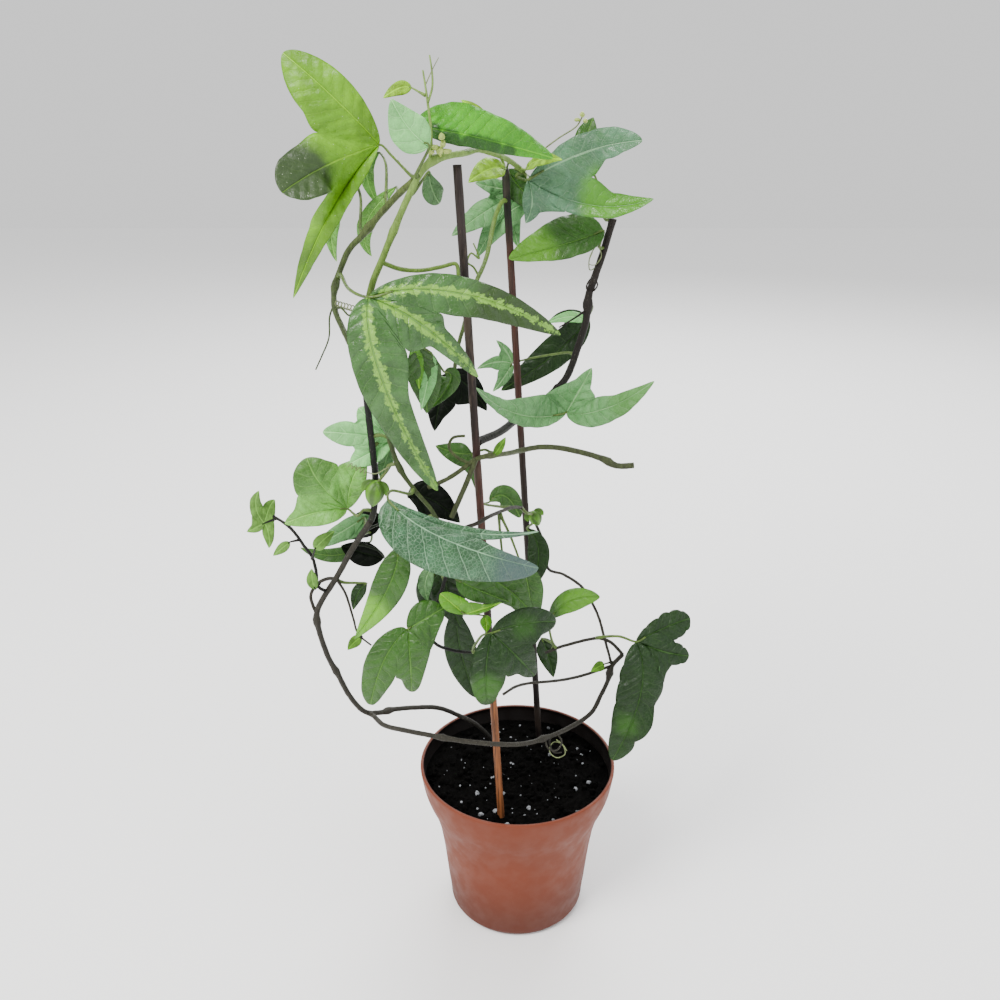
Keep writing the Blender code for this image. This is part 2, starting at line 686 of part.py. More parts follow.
# Left shoot with its small leaves
shoot = stem("shoot_left", [
    (-129, -36, 285), (-123, -38, 282), (-118, -40, 278), (-113, -42, 271), (-109, -43, 265), (-107, -45, 258),
    (-106, -49, 251), (-102, -48, 245)], 0.8, 0.9, end_on="vine_brown")
shoot_parts = [
    *side_leaf((-134, -36, 281), [
        lobe((-138, -37, 279), (-143, -38, 277), 2.6, 2.6), lobe((-137, -38, 291), (-134, -40, 301), 3.6, 3.6),
        lobe((-131, -35, 289), (-128, -33, 293), 3.4, 3.4), lobe((-132, -37, 275), (-132, -39, 268), 3, 3)],
        (-127, -36.5, 284)),
    *side_leaf((-120, -42, 273), [lobe((-124, -43, 270), (-129, -44, 266), 2.6, 2.6)], (-115, -41.5, 274)),
    *side_leaf((-106, -49, 272), [lobe((-102, -50, 277), (-95, -50, 283), 3.6, 3.6)], (-109, -43.5, 264)),
    *side_leaf((-107, -51, 250), [lobe((-108, -52, 256), (-108, -51, 262), 3, 3)], (-105, -47.5, 252)),
]
fuse("shoot_left", [shoot, *shoot_parts], STEM_OLIVE, 0.5)

# Leaves of the top
leaf("leaf_top_left", (-67, -20, 467), [
    lobe((-91, -18, 438), (-115, -8, 393), 6.5, 7.5, wave=0.7, peak=0.85),
    lobe((-90, -31, 459), (-109, -44, 448), 13, 14, wave=0.6, peak=1.9, blunt=0.5, fold=(8, 8)),
    lobe((-85, -28, 487), (-108, -22, 506), 14, 10, wave=0.9, peak=1.2, blunt=0.55)],
    "vine_green", (-47, -52, 455), LEAF_BRIGHT, via=[(-60, -32, 463)], face=(-0.2, -0.9, 0.3), rows=7)
leaf("leaf_folded_top", (-41, -59, 469), [
    lobe((-49, -62, 476), (-56, -66, 488), 9, 8, fold=(-15, 25), wave=0.5)],
    "vine_green", (-47, -53, 456), LEAF_GREY, face=(0.1, -0.95, 0.2))
leaf("leaf_arched", (-49, -40, 476), [
    lobe((-22, -44, 472), (14, -20, 461), 14, 7, fold=(-12, -25), wave=0.8, peak=0.8, blunt=0.55)],
    "vine_green", (-34, -48, 464), LEAF_BRIGHT, via=[(-46, -43, 470)], rows=9, face=(0.0, -0.95, 0.3))
leaf("leaf_top_right", (4, 36, 446), [
    lobe((32, 21, 461), (59, 8, 467), 9, 7, fold=(20, -10), wave=0.6, peak=1.25, blunt=0.6),
    lobe((36, 30, 434), (68, 20, 438), 9, 8, wave=0.7),
    lobe((6, 38, 434), (3, 42, 423), 6, 5)],
    "vine_green", (1, 46, 450), LEAF_MID, rows=7, sinus=0.4, face=(0.0, -0.85, 0.5))
leaf("leaf_upright", (38, 60, 452), [lobe((36, 64, 463), (40, 70, 475), 6.5, 6.5, peak=1.1)],
     "vine_woody", (51, 52, 423), LEAF_MID, via=[(44, 59, 438)], rows=5)
leaf("leaf_right_upper", (46, 49, 418), [
    lobe((24, 47, 411), (-6, 42, 404), 9, 16, wave=0.6, peak=0.75, blunt=0.65)],
    "vine_woody", (47, 51, 408), LEAF_MID, face=(0.1, -0.8, 0.6), rows=8)
leaf("leaf_between_stakes", (-1, 58, 438), [
    lobe((-4, 60, 424), (0, 58, 407), 5, 5),
    lobe((-18, 55, 428), (-37, 44, 416), 9, 8, wave=0.5),
    lobe((-13, 56, 440), (-24, 50, 443), 5, 5)],
    "vine_green", (1, 45, 450), LEAF_GREY, via=[(4, 56, 445)], face=(-0.2, -0.8, 0.5))
leaf("leaf_small_top", (-43, -40, 457), [lobe((-42, -36, 449), (-39, -31, 442), 5, 5, peak=1.4, blunt=0.6)],
     "vine_green", (-50, -54, 450), LEAF_GREY, rows=5, columns=1)
leaf("leaf_narrow_a", (-68, -12, 463), [lobe((-75, -8, 453), (-70, -2, 437), 3.6, 3.6)],
     "vine_left", (-62, -40, 442), LEAF_DARK, via=[(-64, -22, 458)], rows=6, columns=1)
leaf("leaf_narrow_b", (-83, -4, 450), [lobe((-95, 4, 430), (-95, 10, 408), 4.4, 4.4, wave=0.4)],
     "vine_left", (-75, -34, 428), LEAF_MID, via=[(-77, -20, 444)], rows=7, columns=1)
leaf("leaf_narrow_c", (-60, -20, 448), [lobe((-76, -12, 430), (-75, -4, 413), 4.2, 4.2, wave=0.4)],
     "vine_left", (-58, -41, 446), LEAF_MID, rows=7, columns=1)

# Banded leaf at the front
leaf("leaf_banded", (-68, -78, 408), [
    lobe((-28, -75, 409), (17, -60, 387), 7.5, 9, wave=0.6, peak=0.95, blunt=0.65),
    lobe((-44, -78, 395), (-21, -64, 368), 5.4, 5.4, peak=0.95, blunt=0.65),
    lobe((-63, -87, 374), (-41, -66, 312), 9, 9, wave=0.7, peak=0.85, blunt=0.6)],
    "vine_left", (-88, -35, 408), LEAF_MID, via=[(-78, -66, 409)], rows=9, sinus=0.34,
    face=(-0.1, -0.9, 0.42), stalk_radius=1.0)
leaf("leaf_behind_banded", (-50, -64, 383), [lobe((-46, -60, 367), (-46, -54, 347), 8, 8)],
     "vine_left", (-73, -67, 373), LEAF_GREY, via=[(-60, -68, 382)], rows=6)

# Leaves of the middle
leaf("leaf_black", (-38, 2, 351), [
    lobe((-28, 2, 344), (-18, 6, 329), 7, 7), lobe((-43, 2, 336), (-46, -2, 320), 6, 7)],
    "vine_thin", (-34, -24, 357), LEAF_DARK, via=[(-36, -8, 356)], rows=6, sinus=0.5)
leaf("leaf_left_of_stake", (-25, -31, 318), [
    lobe((-24, -29, 308), (-23, -27, 295), 2.8, 2.8), lobe((-33, -30, 318), (-44, -28, 321), 5.5, 5.5)],
    "vine_cut", (-11, -38, 320), LEAF_MID, via=[(-19, -31, 320)], rows=5)
leaf("leaf_dark_right", (40, 62, 367), [
    lobe((22, 63, 346), (-10, 63, 323), 8.5, 10, wave=0.5, blunt=0.65), lobe((29, 61, 369), (18, 57, 367), 3, 3)],
    "vine_woody", (38, 45, 378), LEAF_DARK, via=[(42, 57, 374)], rows=7, sinus=0.3)
leaf("leaf_small_middle", (-4, 54, 342), [
    lobe((-8, 55, 334), (-15, 54, 325), 3.4, 3.4), lobe((-13, 54, 343), (-24, 50, 340), 3.4, 3),
    lobe((-7, 54, 349), (-13, 53, 356), 2.6, 2.6)],
    "vine_woody", (32, 43, 350), LEAF_MINT, via=[(8, 55, 345), (22, 53, 348)], rows=5)
leaf("leaf_mint_right", (26, 18, 324), [
    lobe((0, 2, 328), (-23, -28, 352), 7, 7, wave=0.4),
    lobe((33, 18, 337), (39, 16, 350), 5.5, 5.5),
    lobe((46, 6, 330), (70, -6, 349), 6, 9, wave=0.5)],
    "vine_woody", (22, 37, 332), LEAF_MINT, via=[(28, 26, 326)], face=(0.0, -0.75, 0.65), rows=7)
leaf("leaf_mint_left", (-62, -60, 337), [
    lobe((-72, -64, 332), (-83, -64, 326), 6, 6, peak=1.1, blunt=0.6),
    lobe((-78, -62, 340), (-96, -60, 341), 8, 8, wave=0.6, peak=0.8, blunt=0.6),
    lobe((-71, -60, 346), (-78, -58, 353), 6, 6, peak=1.1, blunt=0.6)],
    "vine_green", (-73, -50, 337), LEAF_MINT, via=[(-62, -54, 337)], rows=6, sinus=0.5)
leaf("leaf_olive_left", (-87, -54, 297), [
    lobe((-101, -58, 297), (-119, -54, 289), 7, 7, wave=0.5, blunt=0.65),
    lobe((-98, -60, 312), (-105, -56, 325), 12, 11, wave=0.8, peak=1.3, blunt=0.55),
    lobe((-84, -57, 312), (-77, -55, 325), 7, 7, peak=1.1, blunt=0.6)],
    "vine_green", (-74, -53, 296), LEAF_MID, via=[(-82, -56, 294)], rows=6, sinus=0.55)
leaf("leaf_netted_small", (-64, -44, 328), [lobe((-68, -43, 319), (-71, -43, 308), 4, 4)],
     "vine_green", (-72, -50, 332), LEAF_GREY, rows=5, columns=1)
leaf("leaf_round_small", (-17, 20, 269), [lobe((-8, 22, 272), (1, 25, 257), 6.5, 6.5, peak=1.2, blunt=0.6)],
     "vine_mid", (-5, -8, 277), LEAF_MID, via=[(-20, 10, 272)], rows=5, columns=1)

# Long netted leaf at the front
leaf("leaf_long_front", (-63, -84, 315), [
    lobe((-30, -84, 299), (8, -66, 290), 3, 3, fold=(-30, 0)),
    lobe((-37, -93, 299), (8, -72, 273), 6, 17, fold=(-10, -6), wave=0.6, peak=0.85, blunt=0.5)],
    "vine_left", (-53, -64, 312), LEAF_GREY, via=[(-62, -76, 316)], rows=9, sinus=0.5,
    face=(0.05, -0.9, 0.42), keel_lobe=1)

# Leaves of the lower cluster
leaf("leaf_mint_fold", (-62, -60, 279), [lobe((-67, -65, 259), (-87, -57, 224), 8.5, 8.5, wave=0.6)],
     "vine_left", (-43, -63, 298), LEAF_MID, via=[(-54, -62, 290)], rows=8)
leaf("leaf_three_left", (-58, -68, 236), [
    lobe((-50, -67, 241), (-40, -62, 245), 9, 8, peak=1.3, blunt=0.5),
    lobe((-57, -73, 221), (-57, -69, 199), 7, 6, peak=1.2, blunt=0.6),
    lobe((-70, -73, 221), (-79, -69, 191), 8, 9, wave=0.5, peak=1.15, blunt=0.65)],
    "vine_left", (-48, -52, 225), LEAF_MID, via=[(-56, -62, 233)], rows=6, sinus=0.55)
leaf("leaf_yellow_small", (-29, -63, 242), [
    lobe((-35, -65, 249), (-41, -65, 255), 4.6, 4.6, peak=1.3, blunt=0.6),
    lobe((-20, -67, 247), (-10, -67, 251), 1.8, 1.8)],
    "vine_left", (-43, -54, 246), LEAF_BRIGHT, via=[(-33, -59, 241)], rows=5,
    extra=side_leaf((-19, -61, 240), [lobe((-18, -61, 236), (-18, -61, 230), 3.2, 3.2)], (-29, -63, 242.5)))
leaf("leaf_three_front", (-15, -70, 235), [
    lobe((1, -71, 241), (18, -62, 237), 8, 8, peak=1.2, blunt=0.5),
    lobe((-3, -75, 225), (7, -69, 209), 7, 7, peak=1.1, blunt=0.6),
    lobe((-18, -77, 216), (-17, -72, 193), 8, 8, wave=0.5, peak=1.1, blunt=0.6)],
    "vine_left", (-25, -51, 212), LEAF_DARK, via=[(-20, -64, 230), (-24, -57, 220)], rows=6, sinus=0.5)
leaf("leaf_bright_right", (18, -7, 207), [
    lobe((29, -9, 220), (46, -10, 223), 6.5, 6.5, wave=0.4, peak=1.1, blunt=0.65)],
    "arc_low", (22, -8, 188), LEAF_MID, via=[(18, -9, 200)], rows=6)
leaf("leaf_dark_low", (14, 7, 186), [lobe((18, 9, 174), (22, 11, 156), 6, 6)],
     "arc_low", (20, -7, 187), LEAF_DARK, rows=6)
leaf("leaf_hanging_dark", (-35, -30, 226), [lobe((-33, -27, 199), (-25, -25, 166), 9, 9, peak=1.1, blunt=0.65)],
     "vine_left", (-42, -54, 246), LEAF_DARK, via=[(-37, -38, 237)], rows=7)
leaf("leaf_cluster_a", (-33, -61, 261), [lobe((-22, -61, 255), (-6, -57, 246), 6.5, 6.5)],
     "vine_left", (-38, -56, 266), LEAF_MID, rows=6)
leaf("leaf_cluster_b", (-8, -25, 247), [lobe((-3, -24, 235), (1, -22, 219), 8, 8)],
     "vine_mid", (-11, -26, 283), LEAF_MID, via=[(-10, -25, 262)], rows=6)
leaf("leaf_cluster_c", (-45, -60, 268), [lobe((-49, -59, 258), (-48, -58, 247), 4, 4)],
     "vine_left", (-38, -58, 274), LEAF_GREY, rows=5, columns=1)
leaf("leaf_beside_stake", (5, 25, 250), [lobe((12, 20, 236), (6, 14, 213), 6.5, 6.5, peak=1.05)],
     "arc_high", (9, 37, 251), LEAF_DARK, rows=6)

# Large wavy leaf over the rim at the right
leaf("leaf_wavy_right", (67, -17, 198), [
    lobe((85, -12, 205), (99, -6, 207), 8, 9, wave=1.0, peak=1.25, blunt=0.5),
    lobe((84, -18, 192), (98, -16, 188), 7, 7, wave=1.0, peak=1.25, blunt=0.5),
    lobe((70, -27, 170), (55, -32, 127), 13, 14, wave=1.2, peak=0.95, blunt=0.5)],
    "arc_low", (46, -8, 195), LEAF_DARK, via=[(57, -16, 201)], rows=8, sinus=0.4,
    face=(-0.1, -0.9, 0.42), stalk_radius=1.0)

# Leaves of the left side
leaf("leaf_boat", (-80, -29, 267), [lobe((-99, -29, 259), (-118, -28, 263), 4, 4)],
     "vine_brown", (-81, -52, 281), LEAF_MID, via=[(-78, -38, 276)], rows=6, columns=1)
leaf("leaf_mint_low", (-81, -40, 286), [lobe((-95, -38, 276), (-110, -34, 266), 4.6, 4.6, wave=0.4)],
     "vine_brown", (-79, -53, 285), LEAF_MINT, rows=6, columns=1)
leaf("leaf_black_left", (-72, -38, 262), [lobe((-84, -36, 264), (-95, -34, 267), 7, 6)],
     "vine_brown", (-84, -51, 276), LEAF_DARK, via=[(-74, -44, 269)], rows=6, columns=1)
leaf("leaf_dark_small", (-81, -44, 250), [lobe((-86, -44, 244), (-89, -44, 234), 3.6, 3.6)],
     "vine_brown", (-97, -46, 253), LEAF_DARK, rows=5, columns=1)


# Buds
def bud(name, centre, axis, width, length, points, host, root):
    """Ovoid flower bud with small bracts, on its stalk."""
    direction = vec(axis).normalized()
    line = [vec(centre) + direction * (length * (k / BUD_STEPS - 0.5)) for k in range(BUD_STEPS + 1)]
    middle = len(line) - 1
    path = bpy.data.curves.new("bud", "CURVE")
    path.dimensions = "3D"
    path.bevel_depth = MM
    path.bevel_resolution = 2
    path.use_fill_caps = True
    spline = path.splines.new("POLY")
    spline.points.add(middle)
    for k, (point, here) in enumerate(zip(spline.points, line)):
        share = k / middle
        point.co = (here.x * MM, here.y * MM, here.z * MM, 1.0)
        point.radius = 0.5 * width * max(0.28, math.sin(math.pi * (0.08 + 0.86 * share ** 0.85)) ** 0.7)
    item = bpy.data.objects.new("bud", path)
    CUTTERS.objects.link(item)
    body = tidy_mesh(evaluated_mesh(item))
    bpy.data.objects.remove(item, do_unlink=True)
    bpy.data.curves.remove(path)
    top = line[0]
    pieces = [body, stalk([top + direction * 2.0, *[vec(p) for p in points]], 0.8, 0.8, host, root)]
    side = direction.cross(Vector((0.0, 1.0, 0.0))).normalized()
    for turn in (-1, 1):
        base = top + side * (turn * 0.8)
        bend = base + side * (turn * width * 0.34) + direction * length * 0.2
        tip = base + side * (turn * width * 0.40) + direction * length * 0.46
        pieces.append(blade(base, [lobe(bend, tip, 1.8, 1.8)], (0.0, -0.95, 0.3), 3, 1))
    return fuse(name, pieces, BUD_GREEN, 0.45)


bud("bud_left", (-72, -63, 309), (-0.2, 0.0, -1.0), 9.4, 13.5, [(-66, -62, 320)], "vine_left", (-60, -64, 325))
bud("bud_right", (10, 24, 257), (0.45, -0.1, -1.0), 7.8, 9.5, [], "vine_mid", (1, 12, 269))
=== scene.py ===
"""Looks of the potted passion flower vine: fine leaves, stems, soil, pot and stakes.

Laid out as an add-on and run as a script. Places on the plant are in millimetres from the centre of the
pot's base: x to the right, y away from the front, z up.
"""

import math
import random

import bmesh
import bpy
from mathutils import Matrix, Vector, noise


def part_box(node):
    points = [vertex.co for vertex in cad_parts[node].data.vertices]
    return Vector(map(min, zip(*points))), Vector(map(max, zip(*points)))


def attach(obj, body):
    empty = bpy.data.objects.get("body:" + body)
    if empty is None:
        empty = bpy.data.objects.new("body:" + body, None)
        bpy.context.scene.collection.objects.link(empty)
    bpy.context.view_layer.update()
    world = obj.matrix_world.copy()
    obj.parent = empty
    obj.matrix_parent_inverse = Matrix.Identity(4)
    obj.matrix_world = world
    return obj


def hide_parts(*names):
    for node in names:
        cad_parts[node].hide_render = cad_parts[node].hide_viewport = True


bl_info = {
    "name": "Potted Passion Flower Vine",
    "version": (1, 0, 0),
    "blender": (4, 5, 0),
    "location": "3D View > Sidebar > Vine",
    "description": "Dresses the packed potted vine with fine leaves, stems, soil, pot and stakes",
    "category": "Object",
}

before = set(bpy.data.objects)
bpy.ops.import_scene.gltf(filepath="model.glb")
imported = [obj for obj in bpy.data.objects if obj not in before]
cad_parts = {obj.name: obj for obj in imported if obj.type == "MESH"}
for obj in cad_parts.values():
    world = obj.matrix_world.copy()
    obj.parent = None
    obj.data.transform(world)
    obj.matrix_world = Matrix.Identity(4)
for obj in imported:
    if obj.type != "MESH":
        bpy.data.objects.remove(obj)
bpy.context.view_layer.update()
BODY = "root"
MM = 0.001

# Real sizes that the part gives, in millimetres
POT_TOP_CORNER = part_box("pot")[1]
POT_RIM_RADIUS = POT_TOP_CORNER.x / MM
LIP_RISE = 0.5
POT_HEIGHT = POT_TOP_CORNER.z / MM - LIP_RISE
POT_BASE_RADIUS = 37.6
HEEL_RADIUS = 5.0
POT_FLOOR = 2.0
POT_WALL = 1.6
DRAIN_HOLE_RADIUS = 4.0
DRAIN_RING_RADIUS = 24.0
DRAIN_HOLE_COUNT = 4
SOIL_TOP = 92.6
SOIL_GAP = 0.3

# Outside of the pot's wall as (height, radius)
WALL_PROFILE = ((20.0, 44.2), (44.0, 46.6), (60.0, 49.0), (72.0, 52.2), (84.0, 56.8), (93.0, 59.0),
                (102.0, 60.0))
WALL_START = HEEL_RADIUS + 3.0
WALL_STEPS = 34
ROUND_STEPS = 8
LIP_ROLL = 0.62
LIP_SHADE_STEPS = 5
COLLAR_HEIGHT = 3.4
COLLAR_RISE = 0.18
COLLAR_EDGE_RISE = 0.22
COLLAR_EDGE_DROP = 1.3
FLOOR_SWEEP = 0.2
AXIS_RADIUS = 0.01
POT_SEGMENTS = 128

# Soil: its noise as (layer, fineness, height) and the sizes of what lies on it
SOIL_RINGS = 74
SOIL_SEGMENTS = 150
SOIL_CALM_RADIUS = 56.0
SOIL_CALM_WIDTH = 6.0
SOIL_NOISE = ((0.0, 0.11, 1.1), (7.0, 0.33, 0.9), (19.0, 0.9, 1.3))
SOIL_SINK = 0.4
CRUMB_SIZES = (0.5, 0.7, 0.9, 1.3, 1.9)
CRUMB_REACH = 0.97
GRAIN_SIZES = (0.3, 0.4, 0.5, 0.7, 1.0, 1.5)
GRAIN_REACH = 0.95

# Stakes as (where the stake enters the soil, top)
STAKE_RADIUS = 2.05
STAKE_FRONT = ((-10, -40, 90), (-30, -42, 460))
STAKE_BACK = ((15, 39, 90), (-8, 48, 450))
STAKE_DEPTH = 38.0
STAKE_STEPS = 90
STAKE_SIDES = 20
STAKE_POINT = 0.7

# Stems and stalks
JOINT_LENGTH = 3.0
BARK_SCALE = 0.55
OFF_MIDRIB = 9.0

# Where a stalk or stem is seated on another
SEAT_DEPTH = 0.4
SEAT_STRAIGHT = 4.0

# Leaf shape
PETIOLE_RADIUS = 0.85
KEEL_REACH = 0.14
FACE_FRONT = (0.0, -0.9, 0.42)
FACE_LEVEL = (0.0, -0.95, 0.3)
TIP_SPACING = 1.4
EDGE_SPACING = 1.35
ROWS_PER_MM = 1.15
FEWEST_ROWS, MOST_ROWS = 14, 84
COLUMNS_PER_MM = 0.9
FEWEST_COLUMNS, MOST_COLUMNS = 5, 11
SMALL_LEAF = 4.0
SINUS = 0.36
SINUS_EASE = 0.16
VEIN_SLANT = 0.85
RIB_SPREAD = 0.75
SWELL_START = 3.0
SCALLOP_TURNS = 15.0
RIPPLE_TURNS = 17.0
RIPPLE_SHIFT = 1.3
BLADE_ARCH = 0.10
EDGE_FLUTTER = 0.35
FLUTTER_TURNS = 0.62
UNEVEN_SCALE = 0.16

# Leaf skin: widths and mesh in millimetres, the rest as shares
MIDRIB_EDGE = 0.55
MIDRIB_CORE = 0.20
VEIN_WIDTH = 0.44
VEIN_WOBBLE = 0.55
NET_MESH = 1.7
NET_LINE = 0.09

# How much wider than usual the side veins of a look stand
SPREADS = {"netted": 1.7, "banded": 1.3}

# Buds, with each bract as (turn to a side, lift to the front)
BUD_RINGS = 26
BUD_SEGMENTS = 40
BUD_RIDGE = 0.11
BRACT_WIDTH = 1.9
BRACTS = ((-1, 0.0), (1, 0.0), (0.15, -2.2))

# Stage: floor and lights in metres, camera in millimetres and degrees; each light is
# (name, place, size, share of the main light's power, colour)
STAGE_SIZE = 6.0
LIGHTS = (("key", (-0.9, -0.9, 1.7), 0.8, 1.0, (1.0, 0.98, 0.95)),
          ("fill", (1.3, -0.7, 1.0), 1.4, 0.20, (0.94, 0.97, 1.0)),
          ("back", (0.3, 1.2, 1.3), 1.2, 0.55, (1.0, 1.0, 1.0)))
LIGHT_AIM = (0.0, 0.0, 0.28)
CAMERA_PLACE = (-10.8, -520.0, 500.1)
CAMERA_PITCH = 23.05
SENSOR_WIDTH = 36.0

PLANT = bpy.data.collections.new("passion_flower_vine")
bpy.context.scene.collection.children.link(PLANT)


# Settings that a user would change
class VinePotSettings(bpy.types.PropertyGroup):
    wall: bpy.props.FloatProperty(
        name="Wall", description="Thickness of the pot's wall", default=POT_WALL * MM, unit="LENGTH")
    colour: bpy.props.FloatVectorProperty(
        name="Colour", description="Terracotta colour of the pot", default=(0.142, 0.027, 0.008), size=3,
        subtype="COLOR", min=0.0, max=1.0)
    low_colour: bpy.props.FloatVectorProperty(
        name="Low colour", description="Darker colour low on the pot", default=(0.082, 0.018, 0.008), size=3,
        subtype="COLOR", min=0.0, max=1.0)


class VineSoilSettings(bpy.types.PropertyGroup):
    relief: bpy.props.FloatProperty(
        name="Relief", description="Height of the soil's crumbs", default=1.6 * MM, unit="LENGTH")
    crumbs: bpy.props.IntProperty(
        name="Crumbs", description="Number of loose soil crumbs", default=520, min=0)
    perlite: bpy.props.IntProperty(
        name="Pale grains", description="Number of pale grains on the soil", default=95, min=0)
    colour: bpy.props.FloatVectorProperty(
        name="Colour", description="Colour of the moist soil", default=(0.0006, 0.0005, 0.0004), size=3,
        subtype="COLOR", min=0.0, max=1.0)
    grain_colour: bpy.props.FloatVectorProperty(
        name="Grain colour", description="Colour of the pale grains", default=(0.26, 0.27, 0.29), size=3,
        subtype="COLOR", min=0.0, max=1.0)


class VineStakeSettings(bpy.types.PropertyGroup):
    radius: bpy.props.FloatProperty(
        name="Radius", description="Radius of each stake", default=STAKE_RADIUS * MM, unit="LENGTH")
    wear: bpy.props.FloatProperty(
        name="Wear", description="Depth of the dents along a stake", default=0.14 * MM, unit="LENGTH")


class VineStemSettings(bpy.types.PropertyGroup):
    bark: bpy.props.FloatProperty(
        name="Bark", description="Depth of the bark's relief", default=0.16 * MM, unit="LENGTH")
    green: bpy.props.FloatVectorProperty(
        name="Green", description="Colour of the young stems", default=(0.115, 0.200, 0.030), size=3,
        subtype="COLOR", min=0.0, max=1.0)
    olive: bpy.props.FloatVectorProperty(
        name="Olive", description="Colour of the older green stems", default=(0.045, 0.068, 0.018), size=3,
        subtype="COLOR", min=0.0, max=1.0)
    brown: bpy.props.FloatVectorProperty(
        name="Brown", description="Colour of the woody stems", default=(0.028, 0.025, 0.018), size=3,
        subtype="COLOR", min=0.0, max=1.0)
    dark: bpy.props.FloatVectorProperty(
        name="Dark", description="Colour of the darkest bark", default=(0.0055, 0.0048, 0.0042), size=3,
        subtype="COLOR", min=0.0, max=1.0)


class VineLeafSettings(bpy.types.PropertyGroup):
    thickness: bpy.props.FloatProperty(
        name="Thickness", description="Thickness of a leaf blade", default=0.45 * MM, unit="LENGTH")
    vein_spacing: bpy.props.FloatProperty(
        name="Vein spacing", description="Distance between the side veins", default=6.0 * MM, unit="LENGTH")
    rib_depth: bpy.props.FloatProperty(
        name="Rib depth", description="Depth of the groove over the midrib", default=0.50 * MM,
        unit="LENGTH")
    bulge: bpy.props.FloatProperty(
        name="Bulge", description="Rise of the blade between its veins", default=0.50 * MM, unit="LENGTH")


class VineBudSettings(bpy.types.PropertyGroup):
    ridges: bpy.props.IntProperty(name="Ridges", description="Ridges round a bud", default=5, min=3)
    colour: bpy.props.FloatVectorProperty(
        name="Colour", description="Colour of the buds", default=(0.080, 0.225, 0.005), size=3,
        subtype="COLOR", min=0.0, max=1.0)


class VineTendrilSettings(bpy.types.PropertyGroup):
    radius: bpy.props.FloatProperty(
        name="Radius", description="Radius of the loose tendrils", default=0.36 * MM, unit="LENGTH")
    colour: bpy.props.FloatVectorProperty(
        name="Colour", description="Colour of the loose tendrils", default=(0.19, 0.23, 0.09), size=3,
        subtype="COLOR", min=0.0, max=1.0)


class VineStageSettings(bpy.types.PropertyGroup):
    floor_colour: bpy.props.FloatVectorProperty(
        name="Floor colour", description="Colour of the plain floor", default=(0.96, 0.96, 0.96), size=3,
        subtype="COLOR", min=0.0, max=1.0)
    key_power: bpy.props.FloatProperty(
        name="Key light", description="Power of the main soft light", default=52.0, min=0.0)
    lens: bpy.props.FloatProperty(
        name="Lens", description="Focal length of the camera", default=36.6, unit="CAMERA")


SETTINGS = {
    "vine_pot": VinePotSettings, "vine_soil": VineSoilSettings, "vine_stakes": VineStakeSettings,
    "vine_stems": VineStemSettings, "vine_leaves": VineLeafSettings, "vine_buds": VineBudSettings,
    "vine_tendrils": VineTendrilSettings, "vine_stage": VineStageSettings}


